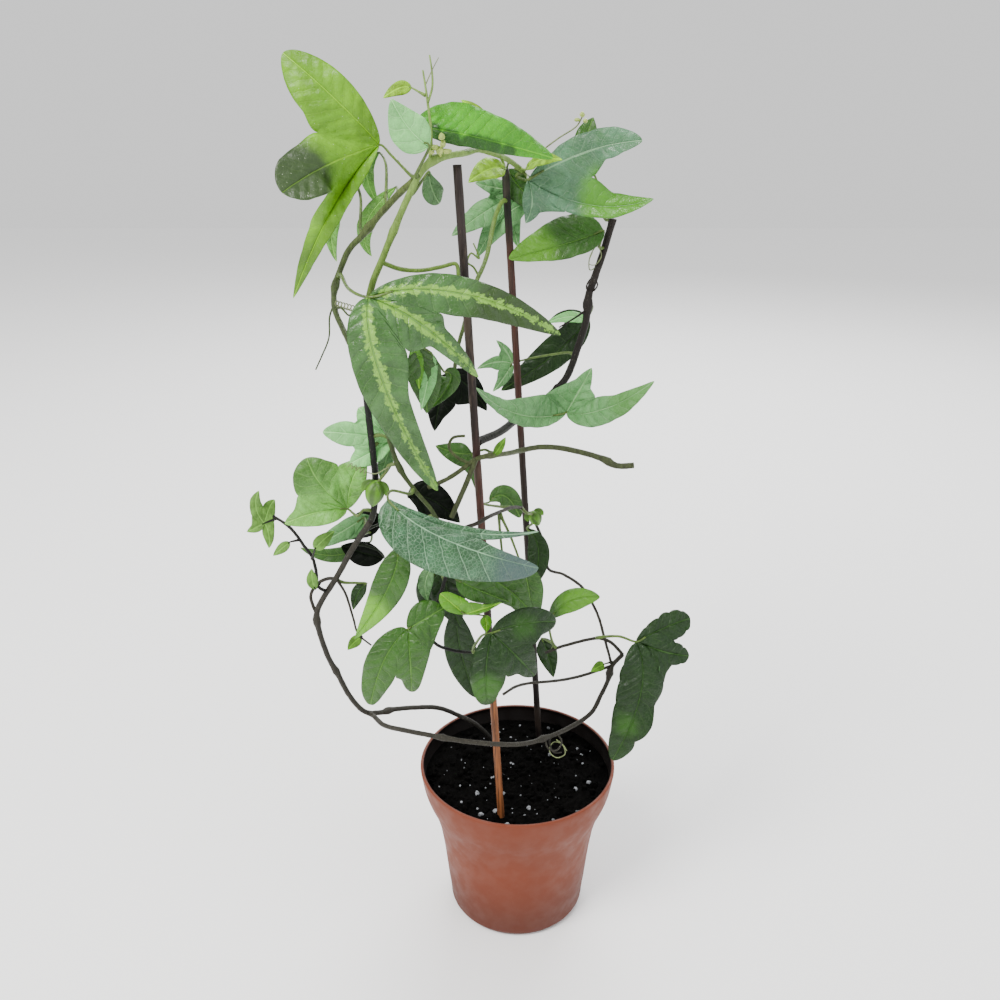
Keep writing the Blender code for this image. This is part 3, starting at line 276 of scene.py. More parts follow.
# Materials
class Finish:
    """A procedural material, with short calls for the nodes that the finishes share."""

    def __init__(self, name):
        self.material = bpy.data.materials.new(name)
        self.material.use_nodes = True
        self.nodes = self.material.node_tree.nodes
        self.links = self.material.node_tree.links
        self.shader = self.nodes["Principled BSDF"]
        self.place = self.nodes.new("ShaderNodeTexCoord").outputs["Object"]

    def put(self, socket, value):
        """Link or set one input."""
        if isinstance(value, bpy.types.NodeSocket):
            self.links.new(value, socket)
        elif socket.type == "RGBA":
            socket.default_value = (*value, 1.0)
        else:
            socket.default_value = value

    def value(self, name):
        """A per-point value of the mesh."""
        node = self.nodes.new("ShaderNodeAttribute")
        node.attribute_name = name
        return node.outputs["Fac"]

    def calc(self, operation, *values):
        """Result of one sum."""
        node = self.nodes.new("ShaderNodeMath")
        node.operation = operation
        for socket, value in zip(node.inputs, values):
            self.put(socket, value)
        return node.outputs[0]

    def times(self, first, second):
        """Product of two values."""
        return self.calc("MULTIPLY", first, second)

    def plus(self, first, second):
        """Sum of two values."""
        return self.calc("ADD", first, second)

    def less(self, first, second):
        """First value less the second."""
        return self.calc("SUBTRACT", first, second)

    def blend(self, share, low, high):
        """Colour between two colours."""
        node = self.nodes.new("ShaderNodeMix")
        node.data_type = "RGBA"
        self.put(node.inputs[0], share)
        self.put(node.inputs[6], low)
        self.put(node.inputs[7], high)
        return node.outputs[2]

    def fade(self, value, start, end, first=0.0, last=1.0):
        """Smooth change from first to last while a value goes from start to end."""
        node = self.nodes.new("ShaderNodeMapRange")
        node.interpolation_type = "SMOOTHSTEP"
        node.clamp = True
        if start > end:
            start, end, first, last = end, start, last, first
        for socket, number in zip(node.inputs, (value, start, end, first, last)):
            self.put(socket, number)
        return node.outputs[0]

    def stretch(self, sizes):
        """Place in the object, scaled on each axis."""
        node = self.nodes.new("ShaderNodeMapping")
        self.put(node.inputs["Vector"], self.place)
        node.inputs["Scale"].default_value = sizes
        return node.outputs[0]

    def grain(self, size, detail=3.0, roughness=0.55, vector=None):
        """Noise with cells of a size in millimetres."""
        node = self.nodes.new("ShaderNodeTexNoise")
        self.put(node.inputs["Vector"], vector or self.place)
        node.inputs["Scale"].default_value = 1.0 / (size * MM)
        node.inputs["Detail"].default_value = detail
        node.inputs["Roughness"].default_value = roughness
        return node.outputs["Fac"]

    def mottled(self, size, first, second, detail=3.0):
        """Two colours in soft spots of a size in millimetres."""
        return self.blend(self.fade(self.grain(size, detail), 0.35, 0.65), first, second)

    def net(self, size, width):
        """Fine net of lines with meshes of a size in millimetres."""
        node = self.nodes.new("ShaderNodeTexVoronoi")
        node.feature = "DISTANCE_TO_EDGE"
        self.put(node.inputs["Vector"], self.place)
        node.inputs["Scale"].default_value = 1.0 / (size * MM)
        return self.fade(node.outputs["Distance"], width, 0.0)

    def height(self):
        """Height above the pot's base in metres."""
        node = self.nodes.new("ShaderNodeSeparateXYZ")
        self.put(node.inputs[0], self.place)
        return node.outputs[2]

    def by_height(self, stops):
        """Colour that changes with height; stops are (height in millimetres, colour) from low to high."""
        colour = stops[0][1]
        height = self.height()
        for (low, _), (high, after) in zip(stops, stops[1:]):
            colour = self.blend(self.fade(height, low * MM, high * MM), colour, after)
        return colour

    def relief(self, height, strength, distance):
        """Bumps from a height; the distance is in millimetres."""
        node = self.nodes.new("ShaderNodeBump")
        node.inputs["Strength"].default_value = strength
        node.inputs["Distance"].default_value = distance * MM
        self.put(node.inputs["Height"], height)
        self.put(self.shader.inputs["Normal"], node.outputs[0])

    def done(self, colour, roughness, shine=0.5):
        """Material with its colour, roughness and shine set."""
        self.put(self.shader.inputs["Base Color"], colour)
        self.put(self.shader.inputs["Roughness"], roughness)
        self.put(self.shader.inputs["Specular IOR Level"], shine)
        return self.material


def scaled(colour, factor):
    """Darker or lighter colour."""
    return tuple(c * factor for c in colour)


FINISHES = {}


def leaf_veins(finish, spread, lines, net):
    """Distance from the midrib, place between two side veins (0.5 on a vein) and share of veins."""
    along = finish.value("along")
    across = finish.value("across")
    spacing = spread * bpy.context.scene.vine_leaves.vein_spacing / MM
    wobble = finish.times(finish.less(finish.grain(5.0, 1.0), 0.5), VEIN_WOBBLE / spread ** 2)
    slanted = finish.less(along, finish.times(across, VEIN_SLANT))
    phase = finish.plus(finish.calc("DIVIDE", slanted, spacing), wobble)
    between = finish.calc("ABSOLUTE", finish.less(finish.calc("FRACT", phase), 0.5))
    side_veins = finish.fade(between, 0.5 - VEIN_WIDTH / spacing, 0.5)
    midrib_line = finish.fade(across, MIDRIB_EDGE, MIDRIB_CORE)
    veins = finish.calc("MAXIMUM", midrib_line, finish.times(side_veins, lines))
    if net:
        veins = finish.calc("MAXIMUM", veins, finish.times(finish.net(NET_MESH, NET_LINE), net))
    return across, between, veins


def leaf_greens(finish, upper, second, between):
    """Upper side in two greens, with broad painted shade, painted shade in the furrows beside the veins,
    and fine specks.
    """
    colour = finish.blend(finish.fade(finish.grain(14.0, 3.0), 0.34, 0.66), upper, second)
    # Painted shade: broad dark areas laid by noise.
    painted_shade = finish.fade(finish.grain(17.0, 3.0, 0.6), 0.46, 0.60, 0.0, 0.62)
    colour = finish.blend(painted_shade, colour, scaled(upper, 0.42))
    # Painted shade in the furrows just beside the side veins.
    beside = finish.calc("ABSOLUTE", finish.less(between, 0.42))
    colour = finish.blend(finish.fade(beside, 0.10, 0.0, 0.0, 0.30), colour, scaled(upper, 0.40))
    specks = finish.fade(finish.grain(1.1, 3.0, 0.7), 0.3, 0.7, 0.0, 0.45)
    return finish.blend(specks, colour, scaled(upper, 0.55))


def leaf_band(finish, across, between, breadth):
    """Share of the pale band along the midrib, ragged and toothed at its edge."""
    ragged = finish.times(finish.less(finish.grain(2.2, 4.0, 0.75), 0.5), 8.0)
    teeth = finish.times(between, -2.6)
    taper = finish.fade(finish.value("share"), 0.25, 0.97, breadth, 0.5)
    rise = finish.fade(finish.value("share"), 0.0, 0.12, -2.5, 0.0)
    edge = finish.less(finish.plus(finish.plus(across, ragged), teeth), finish.plus(taper, rise))
    return finish.times(finish.fade(edge, 0.25, -0.35), 0.93)


def leaf_underside(finish, under, veins):
    """Paler underside with faint veins and clouds."""
    below = finish.blend(finish.times(veins, 0.45), under, scaled(under, 0.72))
    clouds = finish.fade(finish.grain(10.0, 2.0), 0.35, 0.65, 0.0, 0.3)
    return finish.blend(clouds, below, scaled(under, 0.78))


def leaf_relief(finish, veins, between, pucker):
    """Fine grain, sunken veins, and blisters of uneven height between the side veins."""
    height = finish.less(finish.times(finish.grain(1.1, 2.0), 0.6), finish.times(veins, 0.8))
    bulge = finish.times(between, between)
    uneven = finish.fade(finish.grain(8.0, 2.0), 0.38, 0.62, 0.25 * pucker, 1.5 * pucker)
    height = finish.less(height, finish.times(bulge, uneven))
    height = finish.plus(height, finish.times(finish.grain(4.5, 1.0), 2.2))
    finish.relief(height, 0.9, 0.35)


def leaf_finish(name, upper, second, under, vein, lines=0.5, net=0.0, band=None, patch=None, gloss=0.42,
                speckle=0.0, spread=1.0, shine=0.36, pucker=2.2, stalk=(0.090, 0.150, 0.028)):
    """Leaf blade with its veins, a paler underside and a green stalk; band is (colour, breadth)."""
    finish = Finish(name)
    across, between, veins = leaf_veins(finish, spread, lines, net)
    colour = leaf_greens(finish, upper, second, between)
    shown = finish.times(veins, 0.8)
    # A patch lays a second colour over part of a blade; dark patches are painted shade, and inside a patch
    # the veins are dimmed as in shade.
    if patch:
        colour = finish.blend(finish.value("patch"), colour, patch)
        shown = finish.times(shown, finish.fade(finish.value("patch"), 0.0, 1.0, 1.0, 0.25))
    if band:
        colour = finish.blend(leaf_band(finish, across, between, band[1]), colour, band[0])
    colour = finish.blend(shown, colour, vein)
    colour = finish.blend(finish.value("under"), colour, leaf_underside(finish, under, veins))
    if speckle:
        # Painted highlights: pale specks standing for the glints of water droplets.
        drop_glints = finish.fade(finish.grain(0.8, 1.0), 0.74, 0.80, 0.0, speckle)
        colour = finish.blend(drop_glints, colour, (0.55, 0.65, 0.45))
    bark = finish.mottled(3.0, stalk, scaled(stalk, 0.6))
    colour = finish.blend(finish.value("stalk"), colour, bark)
    rough = finish.fade(finish.grain(6.0, 3.0), 0.3, 0.7, gloss - 0.06, gloss + 0.12)
    leaf_relief(finish, veins, between, pucker)
    return finish.done(colour, rough, shine)


def stem_finish(name, stops, leaf, rough=0.62, streak=0.5):
    """Stem whose bark changes with height, with lengthwise streaks and the colour of its small leaves."""
    finish = Finish(name)
    bark = finish.by_height(stops)
    streaks = finish.fade(finish.grain(1.6, 4.0, 0.65, finish.stretch((1.0, 1.0, 0.22))), 0.35, 0.68)
    bark = finish.blend(finish.times(streaks, streak), bark, (0.007, 0.006, 0.004))
    flecks = finish.fade(finish.grain(0.9, 1.0), 0.66, 0.74, 0.0, 0.4)
    bark = finish.blend(flecks, bark, (0.12, 0.115, 0.085))
    green = finish.mottled(4.0, leaf, scaled(leaf, 0.55))
    midrib_line = finish.fade(finish.value("across"), 0.45, 0.15)
    green = finish.blend(finish.times(midrib_line, 0.6), green, scaled(leaf, 1.7))
    colour = finish.blend(finish.value("stalk"), green, bark)
    finish.relief(finish.plus(streaks, finish.grain(0.6, 2.0)), 0.8, 0.30)
    return finish.done(colour, rough, 0.22)


def pot_finish():
    """Matt terracotta plastic with pale scratches, deeper in colour towards the bottom, and painted shade
    on its inside.
    """
    settings = bpy.context.scene.vine_pot
    finish = Finish("terracotta_plastic")
    colour = tuple(settings.colour)
    # Deeper colour towards the bottom of the pot.
    base = finish.blend(finish.fade(finish.height(), 0.050, 0.004), colour, tuple(settings.low_colour))
    cloudy = finish.fade(finish.grain(26.0, 4.0, 0.6), 0.30, 0.70, 0.0, 0.22)
    base = finish.blend(cloudy, base, scaled(colour, 0.72))
    scratches = finish.grain(2.4, 4.0, 0.7, finish.stretch((1.0, 1.0, 0.35)))
    base = finish.blend(finish.fade(scratches, 0.62, 0.78, 0.0, 0.16), base, (0.26, 0.08, 0.045))
    # Painted shade: the inside of the pot and the inner side of its lip are painted near-black.
    base = finish.blend(finish.value("inside"), base, (0.0035, 0.0018, 0.0014))
    finish.relief(finish.grain(0.7, 3.0), 0.18, 0.15)
    rough = finish.fade(finish.grain(9.0, 3.0), 0.3, 0.7, 0.50, 0.66)
    return finish.done(base, rough, 0.28)


def soil_finish():
    """Moist black soil with lighter crumbs."""
    finish = Finish("moist_soil")
    dark = tuple(bpy.context.scene.vine_soil.colour)
    crumbs = finish.fade(finish.grain(1.7, 4.0, 0.7), 0.42, 0.74)
    base = finish.blend(crumbs, dark, scaled(dark, 4.0))
    finish.relief(finish.grain(0.8, 4.0, 0.7), 0.9, 0.8)
    return finish.done(base, 0.92, 0.05)


def grain_finish():
    """Chalky pale grains."""
    finish = Finish("pale_grains")
    pale = tuple(bpy.context.scene.vine_soil.grain_colour)
    base = finish.mottled(2.2, pale, scaled(pale, 0.28), 2.0)
    finish.relief(finish.grain(0.35, 2.0), 0.5, 0.2)
    return finish.done(base, 0.9)


def stake_finish(name, stops, streak):
    """Wooden stake whose colour changes with height, worn along its grain."""
    finish = Finish(name)
    base = finish.by_height(stops)
    fibres = finish.grain(1.1, 4.0, 0.7, finish.stretch((1.0, 1.0, 0.05)))
    base = finish.blend(finish.fade(fibres, 0.40, 0.66, 0.0, 0.75), base, (0.008, 0.005, 0.004))
    base = finish.blend(finish.fade(fibres, 0.36, 0.22, 0.0, 0.55), base, streak)
    worn = finish.fade(finish.grain(7.0, 3.0, 0.6, finish.stretch((1.0, 1.0, 0.3))), 0.52, 0.62, 0.0, 0.4)
    base = finish.blend(worn, base, scaled(streak, 0.5))
    finish.relief(fibres, 0.8, 0.30)
    return finish.done(base, 0.55, 0.22)


def bud_finish():
    """Yellow-green bud, with painted shade in its furrows."""
    finish = Finish("bud_skin")
    colour = tuple(bpy.context.scene.vine_buds.colour)
    # Painted shade: the furrows between the ridges fall to 40 % of the colour.
    base = finish.blend(finish.fade(finish.value("share"), 0.35, 1.0), scaled(colour, 0.40), colour)
    base = finish.blend(finish.fade(finish.grain(1.2), 0.4, 0.7, 0.0, 0.4), base, scaled(colour, 0.6))
    base = finish.blend(finish.value("stalk"), base, (0.075, 0.115, 0.020))
    finish.relief(finish.grain(0.5, 2.0), 0.4, 0.2)
    return finish.done(base, 0.5)


def tendril_finish():
    """Pale, dry tendrils."""
    finish = Finish("tendril_skin")
    colour = tuple(bpy.context.scene.vine_tendrils.colour)
    base = finish.mottled(4.0, colour, scaled(colour, 0.55))
    finish.relief(finish.grain(0.4, 2.0), 0.3, 0.1)
    return finish.done(base, 0.6)


def sprout_finish():
    """Pale yellow skin of the tiny buds."""
    finish = Finish("tiny_bud_skin")
    base = finish.mottled(1.6, (0.42, 0.50, 0.12), (0.24, 0.34, 0.05))
    finish.relief(finish.grain(0.5, 2.0), 0.4, 0.2)
    return finish.done(base, 0.55)


# Piece building
def vec(point):
    """Point in millimetres as a vector."""
    return Vector(point)


class Piece:
    """Points, faces and per-point values of one piece, gathered before its mesh is made."""

    KEYS = ("along", "across", "share", "under", "stalk", "inside")

    def __init__(self):
        self.points = []
        self.faces = []
        self.values = {key: [] for key in self.KEYS}

    def add(self, part):
        """Add a part: its points, its faces and its values."""
        points, faces, values = part
        start = len(self.points)
        self.points += points
        self.faces += [tuple(start + index for index in face) for face in faces]
        for key, column in self.values.items():
            given = values.get(key, 0.0)
            column += given if isinstance(given, list) else [given] * len(points)

    def make(self, name, material, replaces=(), patches=()):
        """Object from what was gathered, riding on the part."""
        mesh = bpy.data.meshes.new(name)
        mesh.from_pydata([point * MM for point in self.points], [], self.faces)
        mesh.update()
        for key, column in self.values.items():
            layer = mesh.attributes.new(key, "FLOAT", "POINT")
            layer.data.foreach_set("value", column)
        if patches:
            layer = mesh.attributes.new("patch", "FLOAT", "POINT")
            layer.data.foreach_set("value", [patch_share(point, patches) for point in self.points])
        mesh.materials.append(material)
        mesh.shade_smooth()
        item = bpy.data.objects.new(name, mesh)
        PLANT.objects.link(item)
        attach(item, BODY)
        if replaces:
            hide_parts(*replaces)
        return item


def patch_share(point, patches):
    """How far a point lies in patches given as (centre, radius, soft edge, strength)."""
    share = 0.0
    for centre, radius, soft, strength in patches:
        distance = (point - vec(centre)).length
        ragged = 1.5 * noise.noise(point * 0.25)
        inside = max(0.0, min(1.0, (radius + soft - distance + ragged) / soft))
        share = max(share, strength * inside * inside * (3 - 2 * inside))
    return share


# Paths
def rounded(before, start, end, after, t):
    """Point or number on a rounded line from start to end, at a share of the way."""
    return 0.5 * (2 * start + (end - before) * t
                  + (2 * before - 5 * start + 4 * end - after) * t * t
                  + (3 * start - before - 3 * end + after) * t ** 3)


def smooth_path(points, step=2.5):
    """Rounded line through the points."""
    knots = [vec(p) for p in points]
    if len(knots) == 2:
        return knots
    line = [knots[0]]
    last = len(knots) - 1
    for i in range(last):
        before = knots[max(i - 1, 0)]
        start = knots[i]
        end = knots[i + 1]
        after = knots[min(i + 2, last)]
        parts = max(1, round((end - start).length / step))
        for k in range(1, parts + 1):
            line.append(rounded(before, start, end, after, k / parts))
    return line


def ring_faces(rings, segments):
    """Faces between rings of points, with a lid on the first and on the last ring."""
    faces = []
    for low in range(0, (rings - 1) * segments, segments):
        high = low + segments
        for k in range(segments):
            after = (k + 1) % segments
            faces.append((low + k, low + after, high + after, high + k))
    faces.append(tuple(reversed(range(segments))))
    faces.append(tuple(range((rings - 1) * segments, rings * segments)))
    return faces


def tube(line, start_radius, end_radius, swellings=(), sides=10, bark=0.0, point_radius=None):
    """Closed round tube along a line; swellings are joints as (share of length, extra radius)."""
    lengths = [0.0]
    for a, b in zip(line, line[1:]):
        lengths.append(lengths[-1] + (b - a).length)
    total = lengths[-1]
    points = []
    side = None
    for index, (here, length) in enumerate(zip(line, lengths)):
        ahead = line[min(index + 1, len(line) - 1)] - line[max(index - 1, 0)]
        ahead.normalize()
        if side is None:
            side = ahead.orthogonal().normalized()
        side = (side - ahead * side.dot(ahead)).normalized()
        other = ahead.cross(side)
        share = length / total
        radius = start_radius + (end_radius - start_radius) * share
        for place, extra in swellings:
            radius += extra * math.exp(-((share - place) * total / JOINT_LENGTH) ** 2)
        if point_radius is not None and index == 0:
            radius = point_radius
        for k in range(sides):
            angle = math.tau * k / sides
            out = side * math.cos(angle) + other * math.sin(angle)
            rise = bark * noise.noise((here + out * radius) * BARK_SCALE) if bark else 0.0
            points.append(here + out * (radius + rise))
    return points, ring_faces(len(line), sides), {"stalk": 1.0, "across": OFF_MIDRIB}


STEMS = {}


def nearest_on(stem_name, target):
    """Nearest point of a stem's centre line, with its direction and radius."""
    line, start_radius, end_radius = STEMS[stem_name]
    goal = vec(target)
    best = None
    for index, (a, b) in enumerate(zip(line, line[1:])):
        span = b - a
        share = max(0.0, min(1.0, (goal - a).dot(span) / span.length_squared))
        point = a + span * share
        distance = (goal - point).length
        if best is None or distance < best[0]:
            place = (index + share) / (len(line) - 1)
            radius = start_radius + (end_radius - start_radius) * place
            best = (distance, point, span.normalized(), radius)
    return best[1], best[2], best[3]


def seat_on(stem_name, target, toward):
    """Two points that end a stalk square to a stem, sunk a little in its surface."""
    centre, direction, radius = nearest_on(stem_name, target)
    out = vec(toward) - centre
    out -= direction * out.dot(direction)
    out.normalize()
    seat = centre + out * (radius - SEAT_DEPTH)
    return seat + out * SEAT_STRAIGHT, seat


def stem(name, points, start_radius, end_radius, swellings=(), start_on=None, end_on=None):
    """Main tube of a stem; an end that is seated on another stem sinks into it."""
    knots = [vec(p) for p in points]
    if start_on:
        lead, seat = seat_on(start_on, knots[0], knots[1])
        knots[0] = seat
        if (knots[1] - lead).length > SEAT_STRAIGHT:
            knots.insert(1, lead)
    if end_on:
        lead, seat = seat_on(end_on, knots[-1], knots[-2])
        knots[-1] = seat
        if (knots[-2] - lead).length > SEAT_STRAIGHT:
            knots.insert(-1, lead)
    line = smooth_path(knots)
    STEMS[name] = (line, start_radius, end_radius)
    bark = bpy.context.scene.vine_stems.bark / MM
    return tube(line, start_radius, end_radius, swellings, 12, bark)


def stalk(points, radius, end_radius, stem_name, root):
    """Leaf stalk that ends on its stem, with a small joint there."""
    knots = [vec(p) for p in points]
    if stem_name:
        lead, seat = seat_on(stem_name, root, knots[-1])
        if (knots[-1] - lead).length < SEAT_STRAIGHT and len(knots) > 1:
            knots.pop()
        knots += [lead, seat]
    else:
        knots.append(vec(root))
    return tube(smooth_path(knots, 1.6), radius, end_radius, ((1.0, 0.25),), 8, 0.06)


def tendril(points, radius=0.5, end_radius=0.35):
    """Thin tendril through points."""
    return tube(smooth_path(points, 1.2), radius, end_radius, (), 6)


def twig(points, start_radius, end_radius):
    """Side shoot of a stem through points."""
    return tube(smooth_path(points, 1.2), start_radius, end_radius, (), 8, 0.08)


def coil(centre, axis, radius, turns, pitch, thickness, tighten=0.0):
    """Loose helix of a tendril about an axis."""
    direction = vec(axis).normalized()
    side = direction.orthogonal().normalized()
    other = direction.cross(side)
    steps = max(8, round(turns * 14))
    line = []
    for k in range(steps + 1):
        share = k / steps
        angle = math.tau * turns * share
        here = radius * (1.0 - tighten * share)
        line.append(vec(centre) + direction * (pitch * turns * share)
                    + side * here * math.cos(angle) + other * here * math.sin(angle))
    return tube(line, thickness, thickness * 0.7, (), 6)


# Leaf building
def lobe(bend, tip, left, right, fold=(0, 0), wave=0.0, peak=0.85, blunt=0.8, scallops=(0.0, 0.0)):
    """One lobe: where its midrib bends and ends, its half widths and its shape."""
    return {"bend": bend, "tip": tip, "left": left, "right": right, "fold": fold, "wave": wave,
            "peak": peak, "blunt": blunt, "scallops": scallops}


def midrib(base, part, t):
    """Point of a lobe's midrib and its direction at a share of its length."""
    start = vec(base)
    end = vec(part["tip"])
    middle = vec(part["bend"]) * 2 - (start + end) * 0.5
    point = start * (1 - t) ** 2 + middle * 2 * t * (1 - t) + end * t * t
    direction = (middle - start) * 2 * (1 - t) + (end - middle) * 2 * t
    return point, direction.normalized()


def lobe_point(base, part, face, t, side, reach, length, look):
    """Point of a lobe, with the relief of its veins, and its distance from the midrib."""
    point, along = midrib(base, part, t)
    normal = vec(face)
    normal = (normal - along * normal.dot(along)).normalized()
    across = normal.cross(along)
    profile = math.sin(math.pi * min(1.0, max(0.0, t)) ** part["peak"]) ** part["blunt"]
    width = (part["left"] if side > 0 else part["right"]) * profile
    notch = 1.0 - abs(math.sin(t * SCALLOP_TURNS))
    width *= 1.0 - part["scallops"][0 if side > 0 else 1] * notch ** 1.5
    angle = math.radians(part["fold"][0 if side > 0 else 1])
    offset = across * (side * math.cos(angle)) + normal * math.sin(angle)
    ripple = part["wave"] * math.sin(t * RIPPLE_TURNS + side * RIPPLE_SHIFT) * profile * reach ** 2
    arch = BLADE_ARCH * width * reach * (1.0 - reach)
    distance = width * reach
    phase = (t * length - distance * VEIN_SLANT) / look["spacing"]
    swell = 0.5 - 0.5 * math.cos(math.tau * phase)
    room = min(1.0, distance / SWELL_START) * (1.0 - 0.6 * reach ** 3)
    relief = look["bulge"] * swell * room * profile
    relief -= look["rib"] * math.exp(-(distance / RIB_SPREAD) ** 2) * min(1.0, (1.0 - t) * 4.0)
    flutter = EDGE_FLUTTER * look["flutter"] * math.sin(t * length * FLUTTER_TURNS + side)
    relief += flutter * reach ** 4 * profile
    relief += 0.5 * look["bulge"] * noise.noise(point * UNEVEN_SCALE + offset * distance * UNEVEN_SCALE)
    point = point + offset * distance + normal * (ripple + arch + relief)
    return point, distance


def lobe_grid(base, part, face, rows, columns, length, look):
    """Rows across one lobe of (point, distance from the midrib, share of length, share of width)."""
    grid = []
    for row in range(1, rows):
        t = 1.0 - (1.0 - row / rows) ** TIP_SPACING
        cells = []
        for column in range(-columns, columns + 1):
            side = 1 if column < 0 else -1
            reach = (abs(column) / columns) ** EDGE_SPACING
            cells.append((*lobe_point(base, part, face, t, side, reach, length, look), t, reach))
        grid.append(cells)
    return grid


def blade(base, lobes, face=FACE_FRONT, sinus=SINUS, flutter=1.0, spread=1.0):
    """Closed leaf blade: lobes in clockwise order from the front, joined from base to sinus."""
    settings = bpy.context.scene.vine_leaves
    look = {"spacing": spread * settings.vein_spacing / MM, "bulge": settings.bulge / MM,
            "rib": settings.rib_depth / MM, "flutter": flutter}
    longest = max((vec(part["tip"]) - vec(base)).length for part in lobes)
    widest = max(max(part["left"], part["right"]) for part in lobes)
    rows = round(max(FEWEST_ROWS, min(MOST_ROWS, longest * ROWS_PER_MM)))
    columns = round(max(FEWEST_COLUMNS, min(MOST_COLUMNS, widest * COLUMNS_PER_MM)))
    if widest < SMALL_LEAF:
        look["bulge"] *= 0.4
        look["rib"] *= 0.5
    points = [vec(base)]
    values = {"along": [0.0], "across": [0.0], "share": [0.0]}
    grids = []
    lengths = []
    for part in lobes:
        length = (vec(part["bend"]) - vec(base)).length + (vec(part["tip"]) - vec(part["bend"])).length
        lengths.append(length)
        grids.append(lobe_grid(base, part, face, rows, columns, length, look))
    join_lobes(grids, rows, columns, sinus)
    sinus_row = max(1, round(rows * sinus))
    faces = []
    seams = {}
    for index, (part, grid) in enumerate(zip(lobes, grids)):
        numbered = []
        for row, cells in enumerate(grid):
            line = []
            for column, (cell, distance, t, _) in enumerate(cells):
                key = None
                if row < sinus_row and column == 0 and index > 0:
                    key = (index - 1, row)
                if row < sinus_row and column == 2 * columns and index < len(grids) - 1:
                    key = (index, row)
                if key in seams:
                    line.append(seams[key])
                    continue
                line.append(len(points))
                points.append(cell)
                values["along"].append(t * lengths[index])
                values["across"].append(distance)
                values["share"].append(t)
                if key is not None:
                    seams[key] = line[-1]
            numbered.append(line)
        tip = len(points)
        points.append(vec(part["tip"]))
        values["along"].append(lengths[index])
        values["across"].append(0.0)
        values["share"].append(1.0)
        for column in range(2 * columns):
            faces.append((0, numbered[0][column + 1], numbered[0][column]))
            faces.append((numbered[-1][column], numbered[-1][column + 1], tip))
        for low, high in zip(numbered, numbered[1:]):
            for column in range(2 * columns):
                faces.append((low[column], low[column + 1], high[column + 1], high[column]))
    return thicken(points, faces, values, settings.thickness / MM)


def join_lobes(grids, rows, columns, sinus):
    """Draw neighbouring lobes together up to the sinus and ease them apart beyond it."""
    sinus_row = max(1, round(rows * sinus))
    ease = max(1, round(rows * SINUS_EASE))
    for here, after in zip(grids, grids[1:]):
        for row in range(min(sinus_row + ease, len(here))):
            pull = 1.0
            if row >= sinus_row:
                share = (row + 1 - sinus_row) / (ease + 1)
                pull = 1.0 - share * share * (3 - 2 * share)
            ours = here[row][-1][0]
            theirs = after[row][0][0]
            shared = (ours + theirs) * 0.5
            for cells, order, edge in ((here[row], range(columns + 1, 2 * columns + 1), ours),
                                       (after[row], range(columns - 1, -1, -1), theirs)):
                centre = cells[columns][0]
                target = edge.lerp(shared, pull)
                full = (edge - centre).length or 1.0
                for step, column in enumerate(order, 1):
                    point, distance, t, reach = cells[column]
                    moved = point + (target - edge) * reach
                    shrunk = distance * ((target - centre).length / full * reach + 1 - reach)
                    cells[column] = (moved, shrunk, t, reach)


def thicken(points, faces, values, thickness):
    """Sheet turned into a closed blade; the second half of its points is the underside."""
    normals = [Vector((0.0, 0.0, 0.0)) for _ in points]
    for face in faces:
        a, b, c = (points[i] for i in face[:3])
        normal = (b - a).cross(c - a)
        if len(face) == 4:
            normal = (points[face[2]] - a).cross(points[face[3]] - points[face[1]])
        for i in face:
            normals[i] += normal
    count = len(points)
    half = thickness * 0.5
    above = []
    below = []
    for point, normal in zip(points, normals):
        out = normal.normalized() if normal.length > 1e-9 else Vector((0.0, -1.0, 0.0))
        above.append(point + out * half)
        below.append(point - out * half)
    edges = {}
    for face in faces:
        for a, b in zip(face, (*face[1:], face[0])):
            edges[(a, b)] = True
    rim = [(a, b) for a, b in edges if (b, a) not in edges]
    closed = list(faces)
    closed += [tuple(count + i for i in reversed(face)) for face in faces]
    closed += [(b, a, count + a, count + b) for a, b in rim]
    doubled = {key: column + column for key, column in values.items()}
    doubled["under"] = [0.0] * count + [1.0] * count
    return above + below, closed, doubled


def leaf_parts(base, lobes, stem_name, root, via=(), stalk_radius=PETIOLE_RADIUS, keel_lobe=0, **shape):
    """Blade and stalk of one leaf; the stalk runs on a little under the midrib of its keel lobe."""
    keel = midrib(base, lobes[keel_lobe], KEEL_REACH)[0]
    points = [keel, vec(base), *[vec(p) for p in via]]
    return [blade(base, lobes, **shape), stalk(points, stalk_radius * 0.6, stalk_radius, stem_name, root)]


def side_leaf(base, lobes, root, **shape):
    """Small leaf whose stalk is sunk into the stem that it grows from."""
    return leaf_parts(base, lobes, None, root, stalk_radius=0.6, flutter=0.5, **shape)


def leaf(name, base, lobes, stem_name, root, tone, look=None, extra=(), patches=(), **shape):
    """One leaf that stands for its plain solid; tone names its slot and look its own finish."""
    piece = Piece()
    shape["spread"] = SPREADS.get(look, 1.0)
    for part in (*leaf_parts(base, lobes, stem_name, root, **shape), *extra):
        piece.add(part)
    return piece.make("fine_" + name, FINISHES[look or tone], [name], patches)


def small_leaf(name, base, bend, tip, width, stem_name, root, tone, look=None, **shape):
    """Small leaf that the plain solids leave out."""
    piece = Piece()
    for part in leaf_parts(base, [lobe(bend, tip, width, width, wave=0.5)], stem_name, root, **shape):
        piece.add(part)
    return piece.make(name, FINISHES[look or tone])


def vine(name, parts, slot):
    """One stem with its side shoots that stands for its plain solid."""
    piece = Piece()
    for part in parts:
        piece.add(part)
    return piece.make("fine_" + name, FINISHES[name if name in FINISHES else slot], [name])


